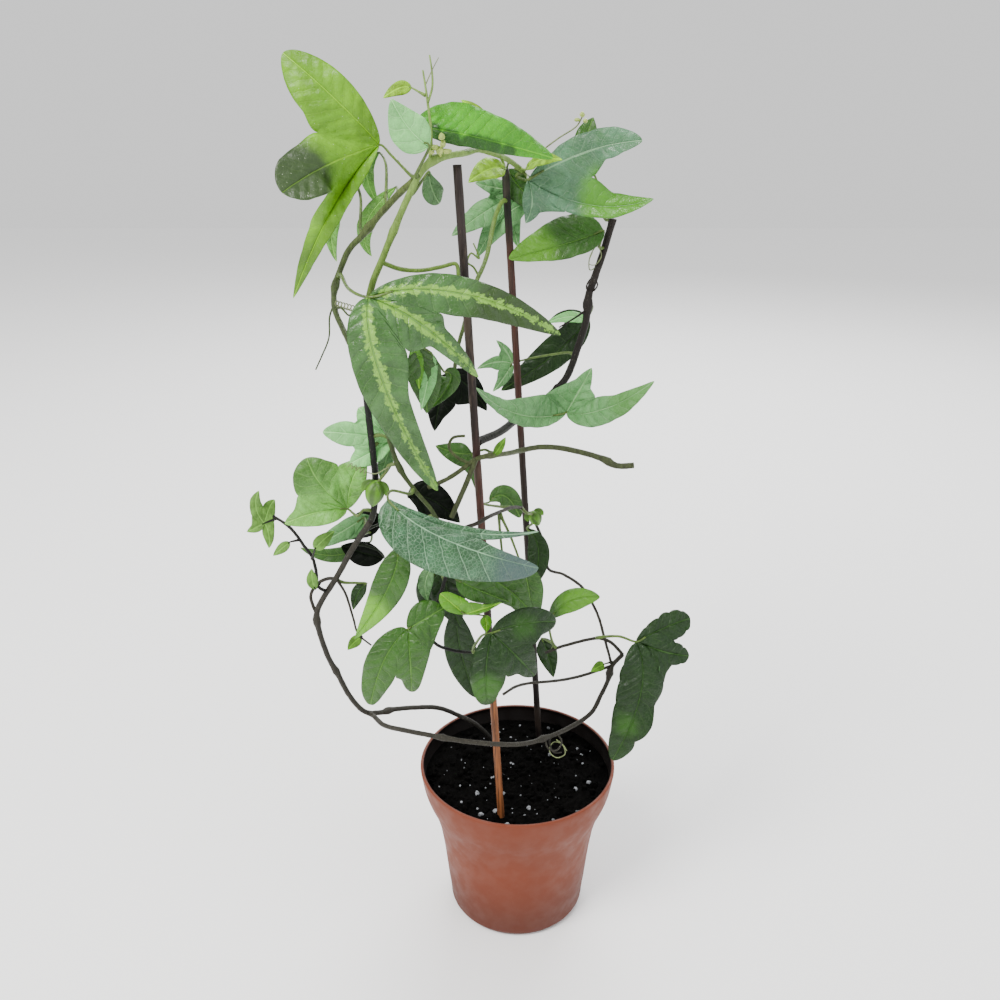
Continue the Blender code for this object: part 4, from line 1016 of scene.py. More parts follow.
# Pot and soil
def pot_radius(height):
    """Outer radius of the pot at a height, rounded between the profile's points."""
    knots = ((HEEL_RADIUS, POT_BASE_RADIUS + HEEL_RADIUS), *WALL_PROFILE)
    for index, ((low, low_radius), (high, high_radius)) in enumerate(zip(knots, knots[1:])):
        if height <= high:
            before = knots[max(index - 1, 0)][1]
            after = knots[min(index + 2, len(knots) - 1)][1]
            t = max(0.0, (height - low) / (high - low))
            return rounded(before, low_radius, high_radius, after, t)
    return POT_RIM_RADIUS


def turned(profile, segments):
    """Body turned about the vertical axis; the profile holds (radius, height, inside)."""
    points = []
    inside = []
    faces = []
    for radius, height, value in profile:
        for k in range(segments):
            angle = math.tau * k / segments
            points.append(Vector((radius * math.cos(angle), radius * math.sin(angle), height)))
            inside.append(value)
    for ring in range(len(profile) - 1):
        for k in range(segments):
            after = (k + 1) % segments
            faces.append((ring * segments + k, (ring + 1) * segments + k, (ring + 1) * segments + after,
                          ring * segments + after))
    return points, faces, {"inside": inside}


def pot_profile(wall):
    """Section of the pot from the middle of its floor, up inside, over the lip and down outside."""
    heights = [WALL_START + (POT_HEIGHT - WALL_START) * k / WALL_STEPS for k in range(WALL_STEPS + 1)]
    rim = pot_radius(POT_HEIGHT)
    section = [(AXIS_RADIUS, POT_FLOOR, 1.0), (POT_BASE_RADIUS * 0.5, POT_FLOOR, 1.0),
               (POT_BASE_RADIUS + 1.2, POT_FLOOR + FLOOR_SWEEP, 1.0)]
    section += [(pot_radius(height) - wall, height, 1.0) for height in heights]
    middle = rim - wall * 0.5
    rolled = wall * LIP_ROLL
    for k in range(ROUND_STEPS + 1):
        angle = math.pi * k / ROUND_STEPS
        height = POT_HEIGHT + 0.5 * rolled * math.sin(angle) + 0.1
        section.append((middle - rolled * math.cos(angle), height, max(0.0, 1.0 - k / LIP_SHADE_STEPS)))
    section.append((rim + COLLAR_EDGE_RISE, POT_HEIGHT - COLLAR_EDGE_DROP, 0.0))
    for height in reversed(heights[:-1]):
        rise = COLLAR_RISE if height > POT_HEIGHT - COLLAR_HEIGHT else 0.0
        section.append((pot_radius(height) + rise, height, 0.0))
    for k in range(ROUND_STEPS + 1):
        angle = math.pi / 2 * k / ROUND_STEPS
        radius = POT_BASE_RADIUS + HEEL_RADIUS * math.cos(angle)
        section.append((radius, HEEL_RADIUS * (1 - math.sin(angle)), 0.0))
    section += [(POT_BASE_RADIUS * 0.5, 0.0, 0.0), (AXIS_RADIUS, 0.0, 0.0)]
    return section


def drain_cutter(angle):
    """Round cutter of one drain hole."""
    place = Vector((DRAIN_RING_RADIUS * math.cos(angle), DRAIN_RING_RADIUS * math.sin(angle), 0.0))
    line = [place - Vector((0, 0, 3)), place + Vector((0, 0, 6))]
    points, faces, _ = tube(line, DRAIN_HOLE_RADIUS, DRAIN_HOLE_RADIUS, sides=32)
    mesh = bpy.data.meshes.new("drain_cutter")
    mesh.from_pydata([point * MM for point in points], [], faces)
    item = bpy.data.objects.new("drain_cutter", mesh)
    bpy.context.scene.collection.objects.link(item)
    return item


class VINE_OT_pot(bpy.types.Operator):
    """Turn the thin terracotta-coloured pot with its rolled lip and drain holes"""
    bl_idname = "vine.pot"
    bl_label = "Pot"

    def execute(self, context):
        piece = Piece()
        piece.add(turned(pot_profile(context.scene.vine_pot.wall / MM), POT_SEGMENTS))
        item = piece.make("fine_pot", pot_finish(), ["pot"])
        cutters = []
        for k in range(DRAIN_HOLE_COUNT):
            tool = drain_cutter(math.tau * (k + 0.5) / DRAIN_HOLE_COUNT)
            cut = item.modifiers.new("drain", "BOOLEAN")
            cut.object = tool
            cutters.append(tool)
        graph = context.evaluated_depsgraph_get()
        item.data = bpy.data.meshes.new_from_object(
            item.evaluated_get(graph), preserve_all_data_layers=True, depsgraph=graph)
        item.modifiers.clear()
        for tool in cutters:
            bpy.data.objects.remove(tool, do_unlink=True)
        return {"FINISHED"}


def soil_height(x, y, relief):
    """Height of the crumbly soil at a place, calmer beside the pot's wall."""
    radius = math.hypot(x, y)
    room = min(1.0, max(0.0, (SOIL_CALM_RADIUS - radius) / SOIL_CALM_WIDTH) + 0.35)
    coarse, lumps, crumbs = [noise.noise(Vector((x, y, layer)) * fineness) * rise
                             for layer, fineness, rise in SOIL_NOISE]
    return SOIL_TOP - SOIL_SINK + relief * room * (coarse + lumps + abs(crumbs) - 0.3)


def scattered(reach):
    """Random place on the soil within a radius."""
    radius = reach * math.sqrt(random.random())
    angle = random.uniform(0, math.tau)
    return radius * math.cos(angle), radius * math.sin(angle)


def chip(place, size, roughness, subdivisions=1):
    """Small irregular grain: its points, faces and values."""
    work = bmesh.new()
    bmesh.ops.create_icosphere(work, subdivisions=subdivisions, radius=1.0)
    squash = Vector((random.uniform(0.7, 1.2), random.uniform(0.7, 1.2), random.uniform(0.55, 0.95)))
    shift = Vector((random.uniform(-50, 50), random.uniform(-50, 50), random.uniform(-50, 50)))
    points = []
    for vert in work.verts:
        rise = 1.0 + roughness * noise.noise(vert.co * 1.7 + shift)
        points.append(vec(place) + vert.co * squash * (size * rise))
    faces = [tuple(vert.index for vert in face.verts) for face in work.faces]
    work.free()
    return points, faces, {}


def soil_body(edge, relief):
    """Soil that fills the pot, with its crumbly top."""
    section = [(AXIS_RADIUS + edge * ring / SOIL_RINGS, SOIL_TOP, 0.0) for ring in range(SOIL_RINGS + 1)]
    section += [(pot_radius(height) - POT_WALL - SOIL_GAP, height, 0.0) for height in range(88, 8, -8)]
    section += [(POT_BASE_RADIUS, POT_FLOOR + SOIL_SINK, 0.0), (AXIS_RADIUS, POT_FLOOR + SOIL_SINK, 0.0)]
    points, faces, values = turned(section, SOIL_SEGMENTS)
    for point in points[:(SOIL_RINGS + 1) * SOIL_SEGMENTS]:
        point.z = soil_height(point.x, point.y, relief)
    return points, [tuple(reversed(face)) for face in faces], values


class VINE_OT_soil(bpy.types.Operator):
    """Fill the pot with crumbly soil and strew it with loose crumbs and pale grains"""
    bl_idname = "vine.soil"
    bl_label = "Soil"

    def execute(self, context):
        settings = context.scene.vine_soil
        relief = settings.relief / MM
        random.seed(3)
        edge = pot_radius(SOIL_TOP) - POT_WALL - 0.1
        piece = Piece()
        piece.add(soil_body(edge, relief))
        for _ in range(settings.crumbs):
            x, y = scattered(edge * CRUMB_REACH)
            size = random.choice(CRUMB_SIZES)
            height = soil_height(x, y, relief) + size * 0.25
            piece.add(chip((x, y, height), size, 0.5, 2 if size > 1 else 1))
        piece.make("fine_soil", soil_finish(), ["soil"])
        grains = Piece()
        for _ in range(settings.perlite):
            x, y = scattered(edge * GRAIN_REACH)
            size = random.choice(GRAIN_SIZES)
            height = soil_height(x, y, relief) + size * 0.45
            grains.add(chip((x, y, height), size, 0.45, 2))
        grains.make("pale_grains", grain_finish())
        return {"FINISHED"}


def stake_points(stake):
    """Centre line of a stake with many small steps, from its pointed foot in the soil to its top."""
    entry, top = vec(stake[0]), vec(stake[1])
    foot = entry + (entry - top).normalized() * STAKE_DEPTH
    return [foot.lerp(top, k / STAKE_STEPS) for k in range(STAKE_STEPS + 1)]


# Colours along the stakes, by height in millimetres
STAKE_FRONT_COLOURS = (
    (96, (0.200, 0.068, 0.022)), (190, (0.220, 0.078, 0.026)), (215, (0.024, 0.013, 0.010)),
    (290, (0.075, 0.026, 0.018)), (345, (0.022, 0.012, 0.010)), (400, (0.018, 0.012, 0.011)),
    (455, (0.034, 0.024, 0.022)))
STAKE_BACK_COLOURS = (
    (96, (0.006, 0.004, 0.004)), (200, (0.010, 0.006, 0.005)), (270, (0.016, 0.009, 0.007)),
    (330, (0.055, 0.018, 0.012)), (395, (0.060, 0.020, 0.013)), (430, (0.008, 0.011, 0.006)),
    (450, (0.008, 0.014, 0.005)))


class VINE_OT_stakes(bpy.types.Operator):
    """Set the two worn wooden stakes in the soil"""
    bl_idname = "vine.stakes"
    bl_label = "Stakes"

    def execute(self, context):
        settings = context.scene.vine_stakes
        radius = settings.radius / MM
        front = stake_finish("stake_front_wood", STAKE_FRONT_COLOURS, (0.17, 0.12, 0.085))
        back = stake_finish("stake_back_wood", STAKE_BACK_COLOURS, (0.085, 0.060, 0.045))
        for name, stake, wood in (("stake_front", STAKE_FRONT, front), ("stake_back", STAKE_BACK, back)):
            line = stake_points(stake)
            STEMS[name] = (line, radius, radius)
            piece = Piece()
            piece.add(tube(line, radius, radius, sides=STAKE_SIDES, bark=settings.wear / MM,
                           point_radius=STAKE_POINT))
            piece.make("fine_" + name, wood, [name])
        return {"FINISHED"}


def make_finishes(context):
    """Finishes that the leaves and stems share."""
    stems = context.scene.vine_stems
    green, olive = tuple(stems.green), tuple(stems.olive)
    brown, dark = tuple(stems.brown), tuple(stems.dark)
    young = (0.090, 0.230, 0.015)
    FINISHES["stem_brown"] = stem_finish(
        "woody_bark", ((90, dark), (150, brown), (300, brown)), young, 0.6)
    FINISHES["stem_dark"] = stem_finish(
        "dark_bark", ((300, dark), (420, (0.014, 0.009, 0.007))), young, 0.55)
    FINISHES["stem_green"] = stem_finish(
        "green_stem",
        (
            (290, (0.010, 0.012, 0.006)), (300, (0.003, 0.004, 0.003)), (385, (0.004, 0.005, 0.003)),
            (420, green), (466, (0.185, 0.300, 0.065))),
        (0.230, 0.460, 0.012), 0.45, 0.35)
    FINISHES["stem_olive"] = stem_finish(
        "olive_stem",
        ((210, dark), (285, dark), (300, olive), (400, olive), (450, (0.085, 0.120, 0.030))),
        (0.120, 0.280, 0.040), 0.5)
    FINISHES["vine_cut"] = stem_finish(
        "cut_stem", ((300, (0.050, 0.062, 0.024)), (330, (0.075, 0.095, 0.032))), young)
    FINISHES["vine_thin"] = stem_finish("thin_stem", ((360, olive), (430, green)), young, 0.45, 0.3)
    FINISHES["bright"] = leaf_finish(
        "bright_leaf", (0.100, 0.330, 0.004), (0.075, 0.260, 0.006), (0.120, 0.300, 0.030),
        (0.230, 0.500, 0.030), 0.45)
    # Painted light: bright greens standing for light shining through the leaf; its pale specks are painted
    # highlights.
    FINISHES["top_left"] = leaf_finish(
        "backlit_leaf", (0.155, 0.400, 0.002), (0.098, 0.275, 0.003), (0.110, 0.280, 0.020),
        (0.230, 0.500, 0.015), 0.18, 0.12, patch=(0.022, 0.040, 0.014), speckle=0.8, pucker=0.8)
    # Painted shade: the dark patch colour makes the strip along the leaf's lower edge (ARCH_SHADE).
    FINISHES["arched"] = leaf_finish(
        "arched_leaf", (0.068, 0.390, 0.001), (0.042, 0.280, 0.001), (0.100, 0.290, 0.030),
        (0.130, 0.480, 0.006), 0.50, 0.45, patch=(0.010, 0.050, 0.004), pucker=3.5)
    FINISHES["green"] = leaf_finish(
        "green_leaf", (0.040, 0.130, 0.014), (0.028, 0.100, 0.010), (0.110, 0.260, 0.070),
        (0.105, 0.230, 0.040), 0.5, 0.3, patch=(0.120, 0.320, 0.012))
    # Partly painted sheen: the blue-grey tint of these greens stands for a sheen on the leaf.
    FINISHES["top_right"] = leaf_finish(
        "green_leaf_blue_sheen", (0.090, 0.225, 0.120), (0.045, 0.135, 0.045), (0.130, 0.300, 0.110),
        (0.190, 0.350, 0.190), 0.5, 0.30, patch=(0.068, 0.250, 0.003), gloss=0.32, pucker=2.0)
    FINISHES["grey"] = leaf_finish(
        "grey_green_leaf", (0.085, 0.210, 0.070), (0.060, 0.160, 0.045), (0.140, 0.310, 0.110),
        (0.210, 0.400, 0.160), 0.5, 0.35, pucker=6.0)
    FINISHES["netted"] = leaf_finish(
        "netted_leaf", (0.026, 0.100, 0.030), (0.058, 0.165, 0.080), (0.110, 0.260, 0.090),
        (0.260, 0.480, 0.280), 0.95, 0.40, patch=(0.050, 0.090, 0.085), gloss=0.30,
        spread=SPREADS["netted"], pucker=4.5)
    FINISHES["banded"] = leaf_finish(
        "banded_leaf", (0.062, 0.165, 0.040), (0.026, 0.085, 0.012), (0.120, 0.270, 0.080),
        (0.095, 0.215, 0.050), 0.55, 0.22, band=((0.190, 0.400, 0.050), 1.6), patch=(0.022, 0.050, 0.008),
        gloss=0.28, spread=SPREADS["banded"], pucker=6.0)
    FINISHES["dark"] = leaf_finish(
        "dark_leaf", (0.010, 0.038, 0.004), (0.005, 0.021, 0.003), (0.035, 0.095, 0.025),
        (0.028, 0.078, 0.012), 0.5, 0.3, patch=(0.030, 0.110, 0.006), gloss=0.34, shine=0.26)
    # Painted shade: a near-black leaf and stalk for leaves deep in shade.
    FINISHES["black"] = leaf_finish(
        "shaded_leaf", (0.0020, 0.0045, 0.0015), (0.0015, 0.0030, 0.0012), (0.010, 0.022, 0.008),
        (0.009, 0.018, 0.006), 0.4, shine=0.10, stalk=(0.010, 0.016, 0.006))
    FINISHES["mint"] = leaf_finish(
        "pale_underside", (0.125, 0.340, 0.110), (0.085, 0.255, 0.070), (0.110, 0.280, 0.080),
        (0.250, 0.480, 0.200), 0.55, 0.30, patch=(0.060, 0.190, 0.020), gloss=0.50, pucker=5.0)
    # Painted light: a lit copy of the pale underside, twice as bright.
    FINISHES["lit_mint"] = leaf_finish(
        "lit_underside", (0.240, 0.680, 0.200), (0.170, 0.520, 0.140), (0.110, 0.280, 0.080),
        (0.360, 0.760, 0.300), 0.55, 0.30, patch=(0.060, 0.170, 0.035), gloss=0.50)
    FINISHES["olive"] = leaf_finish(
        "olive_leaf", (0.090, 0.270, 0.024), (0.170, 0.480, 0.075), (0.130, 0.300, 0.070),
        (0.260, 0.560, 0.110), 0.5, 0.3, patch=(0.026, 0.085, 0.008))
    FINISHES["low_green"] = leaf_finish(
        "low_leaf", (0.033, 0.115, 0.009), (0.021, 0.080, 0.005), (0.090, 0.230, 0.050),
        (0.075, 0.190, 0.022), 0.5, 0.25, patch=(0.140, 0.400, 0.015), gloss=0.32)


class VINE_OT_finishes(bpy.types.Operator):
    """Mix the finishes of the leaves and stems"""
    bl_idname = "vine.finishes"
    bl_label = "Leaf and stem finishes"

    def execute(self, context):
        make_finishes(context)
        return {"FINISHED"}


# Stems
def brown_stem():
    """Brown stem from the soil, out to the left and up."""
    brown = stem(
        "vine_brown",
        [
            (-1.5, 31.3, 66), (-9, 30.2, 81), (-16.7, 29.1, 97), (-26, 28, 109), (-38, 26, 118),
            (-50, 18, 129), (-63, 8, 136), (-75, -4, 143), (-82, -13, 147), (-90, -22, 154),
            (-97, -28, 169), (-102, -32, 186), (-106, -36, 200), (-109, -40, 219), (-109, -42, 231),
            (-104, -44, 242), (-96, -46, 255), (-87, -50, 272), (-76, -54, 290)],
        1.4, 1.6, swellings=((0.42, 0.9), (0.62, 0.6), (0.75, 0.8)))
    side_loop = twig(
        [(-97, -45, 253), (-102, -41, 251), (-108, -39, 247), (-112, -40, 240), (-109.5, -42, 231)], 1.0,
        0.9)
    vine("vine_brown", [brown, side_loop], "stem_brown")


def green_stem():
    """Green stem from the brown one up behind the banded leaf and over both stakes."""
    green = stem(
        "vine_green",
        [
            (-75.6, -54.15, 290.8), (-74.2, -54, 294.6), (-73, -54, 303), (-72, -56, 315),
            (-73, -58.5, 340), (-74, -59, 361), (-74, -60, 385), (-69, -61, 408), (-64, -60, 420),
            (-60, -58, 429), (-55, -56, 440), (-50, -54, 450), (-46, -52, 457), (-41, -50, 462),
            (-35, -48, 464), (-26, -40, 465), (-21, -20, 465), (-15, 0, 462), (-9, 24, 458),
            (-4, 38, 454), (2, 46, 449)],
        1.7, 1.4, swellings=((0.06, 0.9), (0.5, 0.5), (0.62, 0.9)))
    arch_parts = [
        *side_leaf((-8, 18, 453), [lobe((-16, 6, 454), (-26, -8, 449), 6, 6)], (-10, 22, 457.5)),
        *side_leaf((3, 38, 451), [lobe((9, 22, 457), (20, 10, 458), 4, 4, wave=0.6)], (0, 43, 451)),
        *side_leaf(
            (-16, -12, 472), [lobe((-21, -10, 480), (-29, -8, 486), 3.2, 3.2)],
            (-17, -6, 463), face=(0.3, -0.9, 0.2)),
        *side_leaf((-49, -45, 492), [lobe((-54, -48, 492), (-61, -50, 488), 3.4, 3.0)], (-43, -48, 489)),
        twig(
            [
                (-64, -60, 420), (-56, -55, 416), (-47, -53, 415), (-38, -50, 416), (-31, -48, 417),
                (-30, -50, 411)],
            1.1, 0.9),
        tendril(
            [
                (-42, -50, 461), (-41, -50, 468), (-41, -50, 477), (-42, -49, 486), (-43, -47, 493),
                (-44, -45, 499)],
            0.9, 0.4),
        tendril([(-42, -49, 486), (-40, -48, 492), (-40, -46, 498), (-41, -44, 505)], 0.6, 0.35)]
    vine("vine_green", [green, *arch_parts], "stem_green")


def left_stem():
    """Olive stem of the left side, down to the leaf cluster at the front stake."""
    olive = stem(
        "vine_left",
        [
            (-46, -50, 457), (-50, -46, 453), (-56, -42, 448), (-66, -38, 438), (-75, -34, 428),
            (-82, -32, 421), (-87, -32, 411), (-89, -40, 403), (-88, -48, 396), (-84, -56, 390),
            (-80, -64, 385), (-73, -67, 372), (-66, -67, 350), (-60, -64, 325), (-52, -64, 311),
            (-44, -64, 300), (-38, -60, 283), (-38, -56, 264), (-42, -54, 248), (-47, -53, 234),
            (-48, -52, 223), (-44, -52, 217), (-37, -52, 214), (-29, -51, 212), (-21, -51, 212)],
        1.6, 0.8, swellings=((0.13, 0.9), (0.24, 0.7), (0.56, 0.7)), start_on="vine_green")
    olive_parts = [
        tendril([(-88.5, -46, 398), (-91, -46, 392), (-92, -46, 382), (-96, -47, 373), (-99, -48, 367)]),
        tendril(
            [(-88, -48, 396), (-84, -54, 398), (-80, -60, 396), (-77, -65, 398), (-74, -70, 397)], 0.55,
            0.35)]
    vine("vine_left", [olive, *olive_parts], "stem_olive")


def ring_stem():
    """Woody ring around the pot's front, with the arcs on its right."""
    ring = stem(
        "vine_ring",
        [
            (-86, -22, 153), (-83, -28, 154), (-76, -40, 157), (-62, -52, 162), (-47, -58, 163),
            (-30, -60, 161), (-11, -56, 156), (3, -46, 149), (15, -34, 144), (29, -22, 142),
            (43, -14, 147), (49, -10, 157), (53, -8, 166), (55, -8, 176), (61, -8, 184)],
        1.4, 1.3, swellings=((0.3, 0.6), (0.62, 0.8), (0.93, 1.2)), start_on="vine_brown")
    ring_parts = [
        stem(
            "arc_low",
            [
                (16, -6, 184), (24, -8, 189), (33, -8, 192), (40, -8, 194), (47, -8, 195), (54, -8, 192),
                (61, -8, 184)],
            0.9, 1.0),
        stem(
            "arc_front",
            [
                (-9, -49, 184), (-2, -40, 183), (6, -32, 180), (21, -22, 175), (36, -14, 173),
                (54, -8, 176)],
            0.8, 0.9),
        stem(
            "arc_high",
            [
                (7, 35, 256), (12, 38, 244), (17, 34, 232), (18, 24, 224), (27, 14, 225), (37, 4, 222),
                (43, -2, 214), (47, -4, 205), (50, -8, 194.5), (53, -8, 184), (55, -8, 176)],
            0.9, 0.8),
        *side_leaf((50, -12, 180), [lobe((47, -13, 179), (42, -14, 176), 3, 3)], (55, -8, 179)),
        tendril(
            [
                (15, -34, 144), (17, -37, 139), (22, -36, 137), (25, -32, 140), (22, -29, 143),
                (18, -31, 140), (20, -35, 135), (25, -34, 134)],
            0.6, 0.4)]
    vine("vine_ring", [ring, *ring_parts], "stem_brown")


def woody_stem():
    """Dark woody stem at the upper right."""
    woody = stem(
        "vine_woody",
        [
            (51, 52, 424), (48, 52, 412), (45, 50, 402), (39, 46, 385), (38, 44, 375), (37, 44, 367),
            (33, 44, 353), (30, 42, 344), (26, 40, 336), (18, 35, 329), (12, 32, 325), (4, 23, 323),
            (-3, 6, 323), (-11, -18, 325), (-20, -39, 327)],
        2.0, 2.1, swellings=((0.0, 0.3), (0.25, 1.0), (0.62, 1.2)), end_on="stake_front")
    woody_parts = [
        twig(
            [(39, 46, 384), (37, 43, 389), (40, 41, 394), (43, 42, 390), (41, 45, 386), (44, 48, 394)],
            0.5, 0.4),
        tendril([(38, 44, 376), (31, 40, 372), (22, 38, 367)], 0.7, 0.4),
        twig([(19, 35, 330), (21, 33, 335), (24, 31, 333), (24, 30, 328)], 1.1, 0.8)]
    vine("vine_woody", [woody, *woody_parts], "stem_dark")


def cut_stem():
    """Stem that wraps the front stake and ends in a cut."""
    wrapped = stem(
        "vine_cut",
        [
            (-46, -60, 311), (-37, -54, 313), (-30, -49, 316), (-23, -45.1, 320), (-17, -45.4, 322),
            (-11, -38, 320), (-5, -22, 315), (0, -8, 311), (10, 0, 310), (21, 2, 309), (35, 2, 306),
            (46, 0, 303), (53, -2, 300), (62, -4, 301)],
        1.1, 1.7, swellings=((0.26, 0.6), (0.9, 0.8)))
    cut_parts = [
        twig([(-23, -45.4, 320), (-27, -51, 311), (-31, -56, 303), (-35, -58, 294)], 1.4, 1.3),
        *side_leaf(
            (-14, -45, 322), [lobe((-11, -44, 326), (-8, -43, 331), 2.2, 2.2)],
            (-17, -45.4, 321.5)),
        tendril(
            [
                (-26, -46.6, 318.5), (-32, -47.5, 322), (-36, -47, 327), (-34, -46.5, 332),
                (-28, -46.6, 333)],
            0.9, 0.7)]
    vine("vine_cut", [wrapped, *cut_parts], "stem_olive")


def thin_stem():
    """Thin green stem between the stakes."""
    thin = stem(
        "vine_thin",
        [
            (-11, 42, 434), (-13, 36, 428), (-15, 26, 421), (-18, 6, 410), (-23, -14, 401),
            (-28, -24, 385), (-32, -26, 371), (-34, -24, 357)],
        1.2, 1.0, start_on="stake_back")
    vine(
        "vine_thin",
        [
            thin,
            tendril(
                [
                    (-21, -8, 403), (-24, -6, 408), (-27, -9, 411), (-25, -12, 416), (-21, -10, 413),
                    (-24, -7, 420)],
                0.6, 0.4)],
        "stem_green")


def mid_stem():
    """Stem that crosses between the stakes to the second bud."""
    mid = stem(
        "vine_mid",
        [
            (-39, -60, 290), (-33, -56, 286), (-28, -52, 286), (-22, -49, 287), (-17, -44, 288),
            (-11, -26, 283), (-4, -6, 277), (2, 14, 268)],
        1.1, 0.9, start_on="vine_left")
    vine("vine_mid", [mid], "stem_brown")


def shoot_stem():
    """Left shoot with its small leaves."""
    shoot = stem(
        "shoot_left",
        [
            (-129, -36, 285), (-123, -38, 282), (-118, -40, 278), (-113, -42, 271), (-109, -43, 265),
            (-107, -45, 258), (-106, -49, 251), (-102, -48, 245)],
        0.8, 0.9, end_on="vine_brown")
    shoot_parts = [
        *side_leaf(
            (-134, -36, 281),
            [
                lobe((-138, -37, 279), (-143, -38, 277), 2.6, 2.6),
                lobe((-137, -38, 291), (-134, -40, 301), 3.6, 3.6),
                lobe((-131, -35, 289), (-128, -33, 293), 3.4, 3.4),
                lobe((-132, -37, 275), (-132, -39, 268), 3, 3)],
            (-127, -36.5, 284)),
        *side_leaf(
            (-120, -42, 273), [lobe((-124, -43, 270), (-129, -44, 266), 2.6, 2.6)],
            (-115, -41.5, 274)),
        *side_leaf(
            (-106, -49, 272), [lobe((-102, -50, 277), (-95, -50, 283), 3.6, 3.6)],
            (-109, -43.5, 264)),
        *side_leaf(
            (-107, -51, 250), [lobe((-108, -52, 256), (-108, -51, 262), 3, 3)],
            (-105, -47.5, 252))]
    vine("shoot_left", [shoot, *shoot_parts], "stem_olive")


def grow_stems():
    """Wind every stem after the one that it is seated on."""
    brown_stem()
    green_stem()
    left_stem()
    ring_stem()
    woody_stem()
    cut_stem()
    thin_stem()
    mid_stem()
    shoot_stem()


# Leaves, with the arched leaf's strip of painted shade as (centre, radius, soft edge, strength)
ARCH_SHADE = [
    ((-41, -42, 472), 5.5, 2.0, 0.95), ((-33, -43, 470), 5.0, 2.0, 0.95),
    ((-24, -43, 468.5), 4.5, 2.0, 0.95), ((-15, -41, 466.5), 4.0, 2.0, 0.9),
    ((-7, -36, 464), 3.5, 2.0, 0.85)]


def grow_top_leaves():
    """Leaves at the top of the stakes."""
    leaf(
        "leaf_top_left", (-67, -20, 467),
        [
            lobe((-91, -18, 438), (-115, -8, 393), 6.5, 7.5, wave=0.7, peak=0.85),
            lobe((-90, -31, 459), (-109, -44, 448), 13, 14, wave=0.6, peak=1.9, blunt=0.5, fold=(8, 8)),
            lobe((-85, -28, 487), (-108, -22, 506), 14, 10, wave=0.9, peak=1.2, blunt=0.55)],
        "vine_green", (-47, -52, 455), "bright", "top_left",
        patches=[((-104, -40, 453), 15, 8, 0.95), ((-110, -9, 402), 14, 14, 0.45)], via=[(-60, -32, 463)],
        face=(-0.2, -0.9, 0.3))
    leaf(
        "leaf_folded_top", (-41, -59, 469),
        [lobe((-49, -62, 476), (-56, -66, 488), 9, 8, fold=(-15, 25), wave=0.5)],
        "vine_green", (-47, -53, 456), "grey", "lit_mint", face=(0.1, -0.95, 0.2))
    leaf(
        "leaf_arched", (-49, -40, 476),
        [lobe((-22, -44, 472), (14, -20, 461), 14, 5.2, fold=(-12, -25), wave=0.8, peak=0.8, blunt=0.55)],
        "vine_green", (-34, -48, 464), "bright", "arched", patches=ARCH_SHADE, via=[(-46, -43, 470)],
        face=FACE_LEVEL)
    leaf(
        "leaf_top_right", (4, 36, 446),
        [
            lobe((32, 21, 461), (59, 8, 467), 9, 7, fold=(20, -10), wave=0.6, peak=1.25, blunt=0.6),
            lobe((36, 30, 434), (68, 20, 438), 9, 8, wave=0.7),
            lobe((6, 38, 434), (3, 42, 423), 6, 5)],
        "vine_green", (1, 46, 450), "green", "top_right", patches=[((52, 24, 436), 17, 10, 0.9)],
        sinus=0.4, face=(0.0, -0.85, 0.5))
    leaf(
        "leaf_upright", (38, 60, 452), [lobe((36, 64, 463), (40, 70, 475), 6.5, 6.5, peak=1.1)],
        "vine_woody", (51, 52, 423), "green", "low_green", via=[(44, 59, 438)])
    leaf(
        "leaf_right_upper", (46, 49, 418),
        [lobe((24, 47, 411), (-6, 42, 404), 9, 16, wave=0.6, peak=0.75, blunt=0.65)],
        "vine_woody", (47, 51, 408), "green", "low_green", patches=[((2, 44, 406), 12, 12, 0.5)],
        face=(0.1, -0.8, 0.6))
    leaf(
        "leaf_between_stakes", (-1, 58, 438),
        [
            lobe((-4, 60, 424), (0, 58, 407), 5, 5),
            lobe((-18, 55, 428), (-37, 44, 416), 9, 8, wave=0.5),
            lobe((-13, 56, 440), (-24, 50, 443), 5, 5)],
        "vine_green", (1, 45, 450), "grey", "mint", via=[(4, 56, 445)], face=(-0.2, -0.8, 0.5))
    leaf(
        "leaf_small_top", (-43, -40, 457),
        [lobe((-42, -36, 449), (-39, -31, 442), 5, 5, peak=1.4, blunt=0.6)],
        "vine_green", (-50, -54, 450), "grey")
    leaf(
        "leaf_narrow_a", (-68, -12, 463), [lobe((-75, -8, 453), (-70, -2, 437), 3.6, 3.6)],
        "vine_left", (-62, -40, 442), "dark", "olive", via=[(-64, -22, 458)])
    leaf(
        "leaf_narrow_b", (-83, -4, 450), [lobe((-95, 4, 430), (-95, 10, 408), 4.4, 4.4, wave=0.4)],
        "vine_left", (-75, -34, 428), "green", "olive", via=[(-77, -20, 444)])
    leaf(
        "leaf_narrow_c", (-60, -20, 448), [lobe((-76, -12, 430), (-75, -4, 413), 4.2, 4.2, wave=0.4)],
        "vine_left", (-58, -41, 446), "green", "olive")


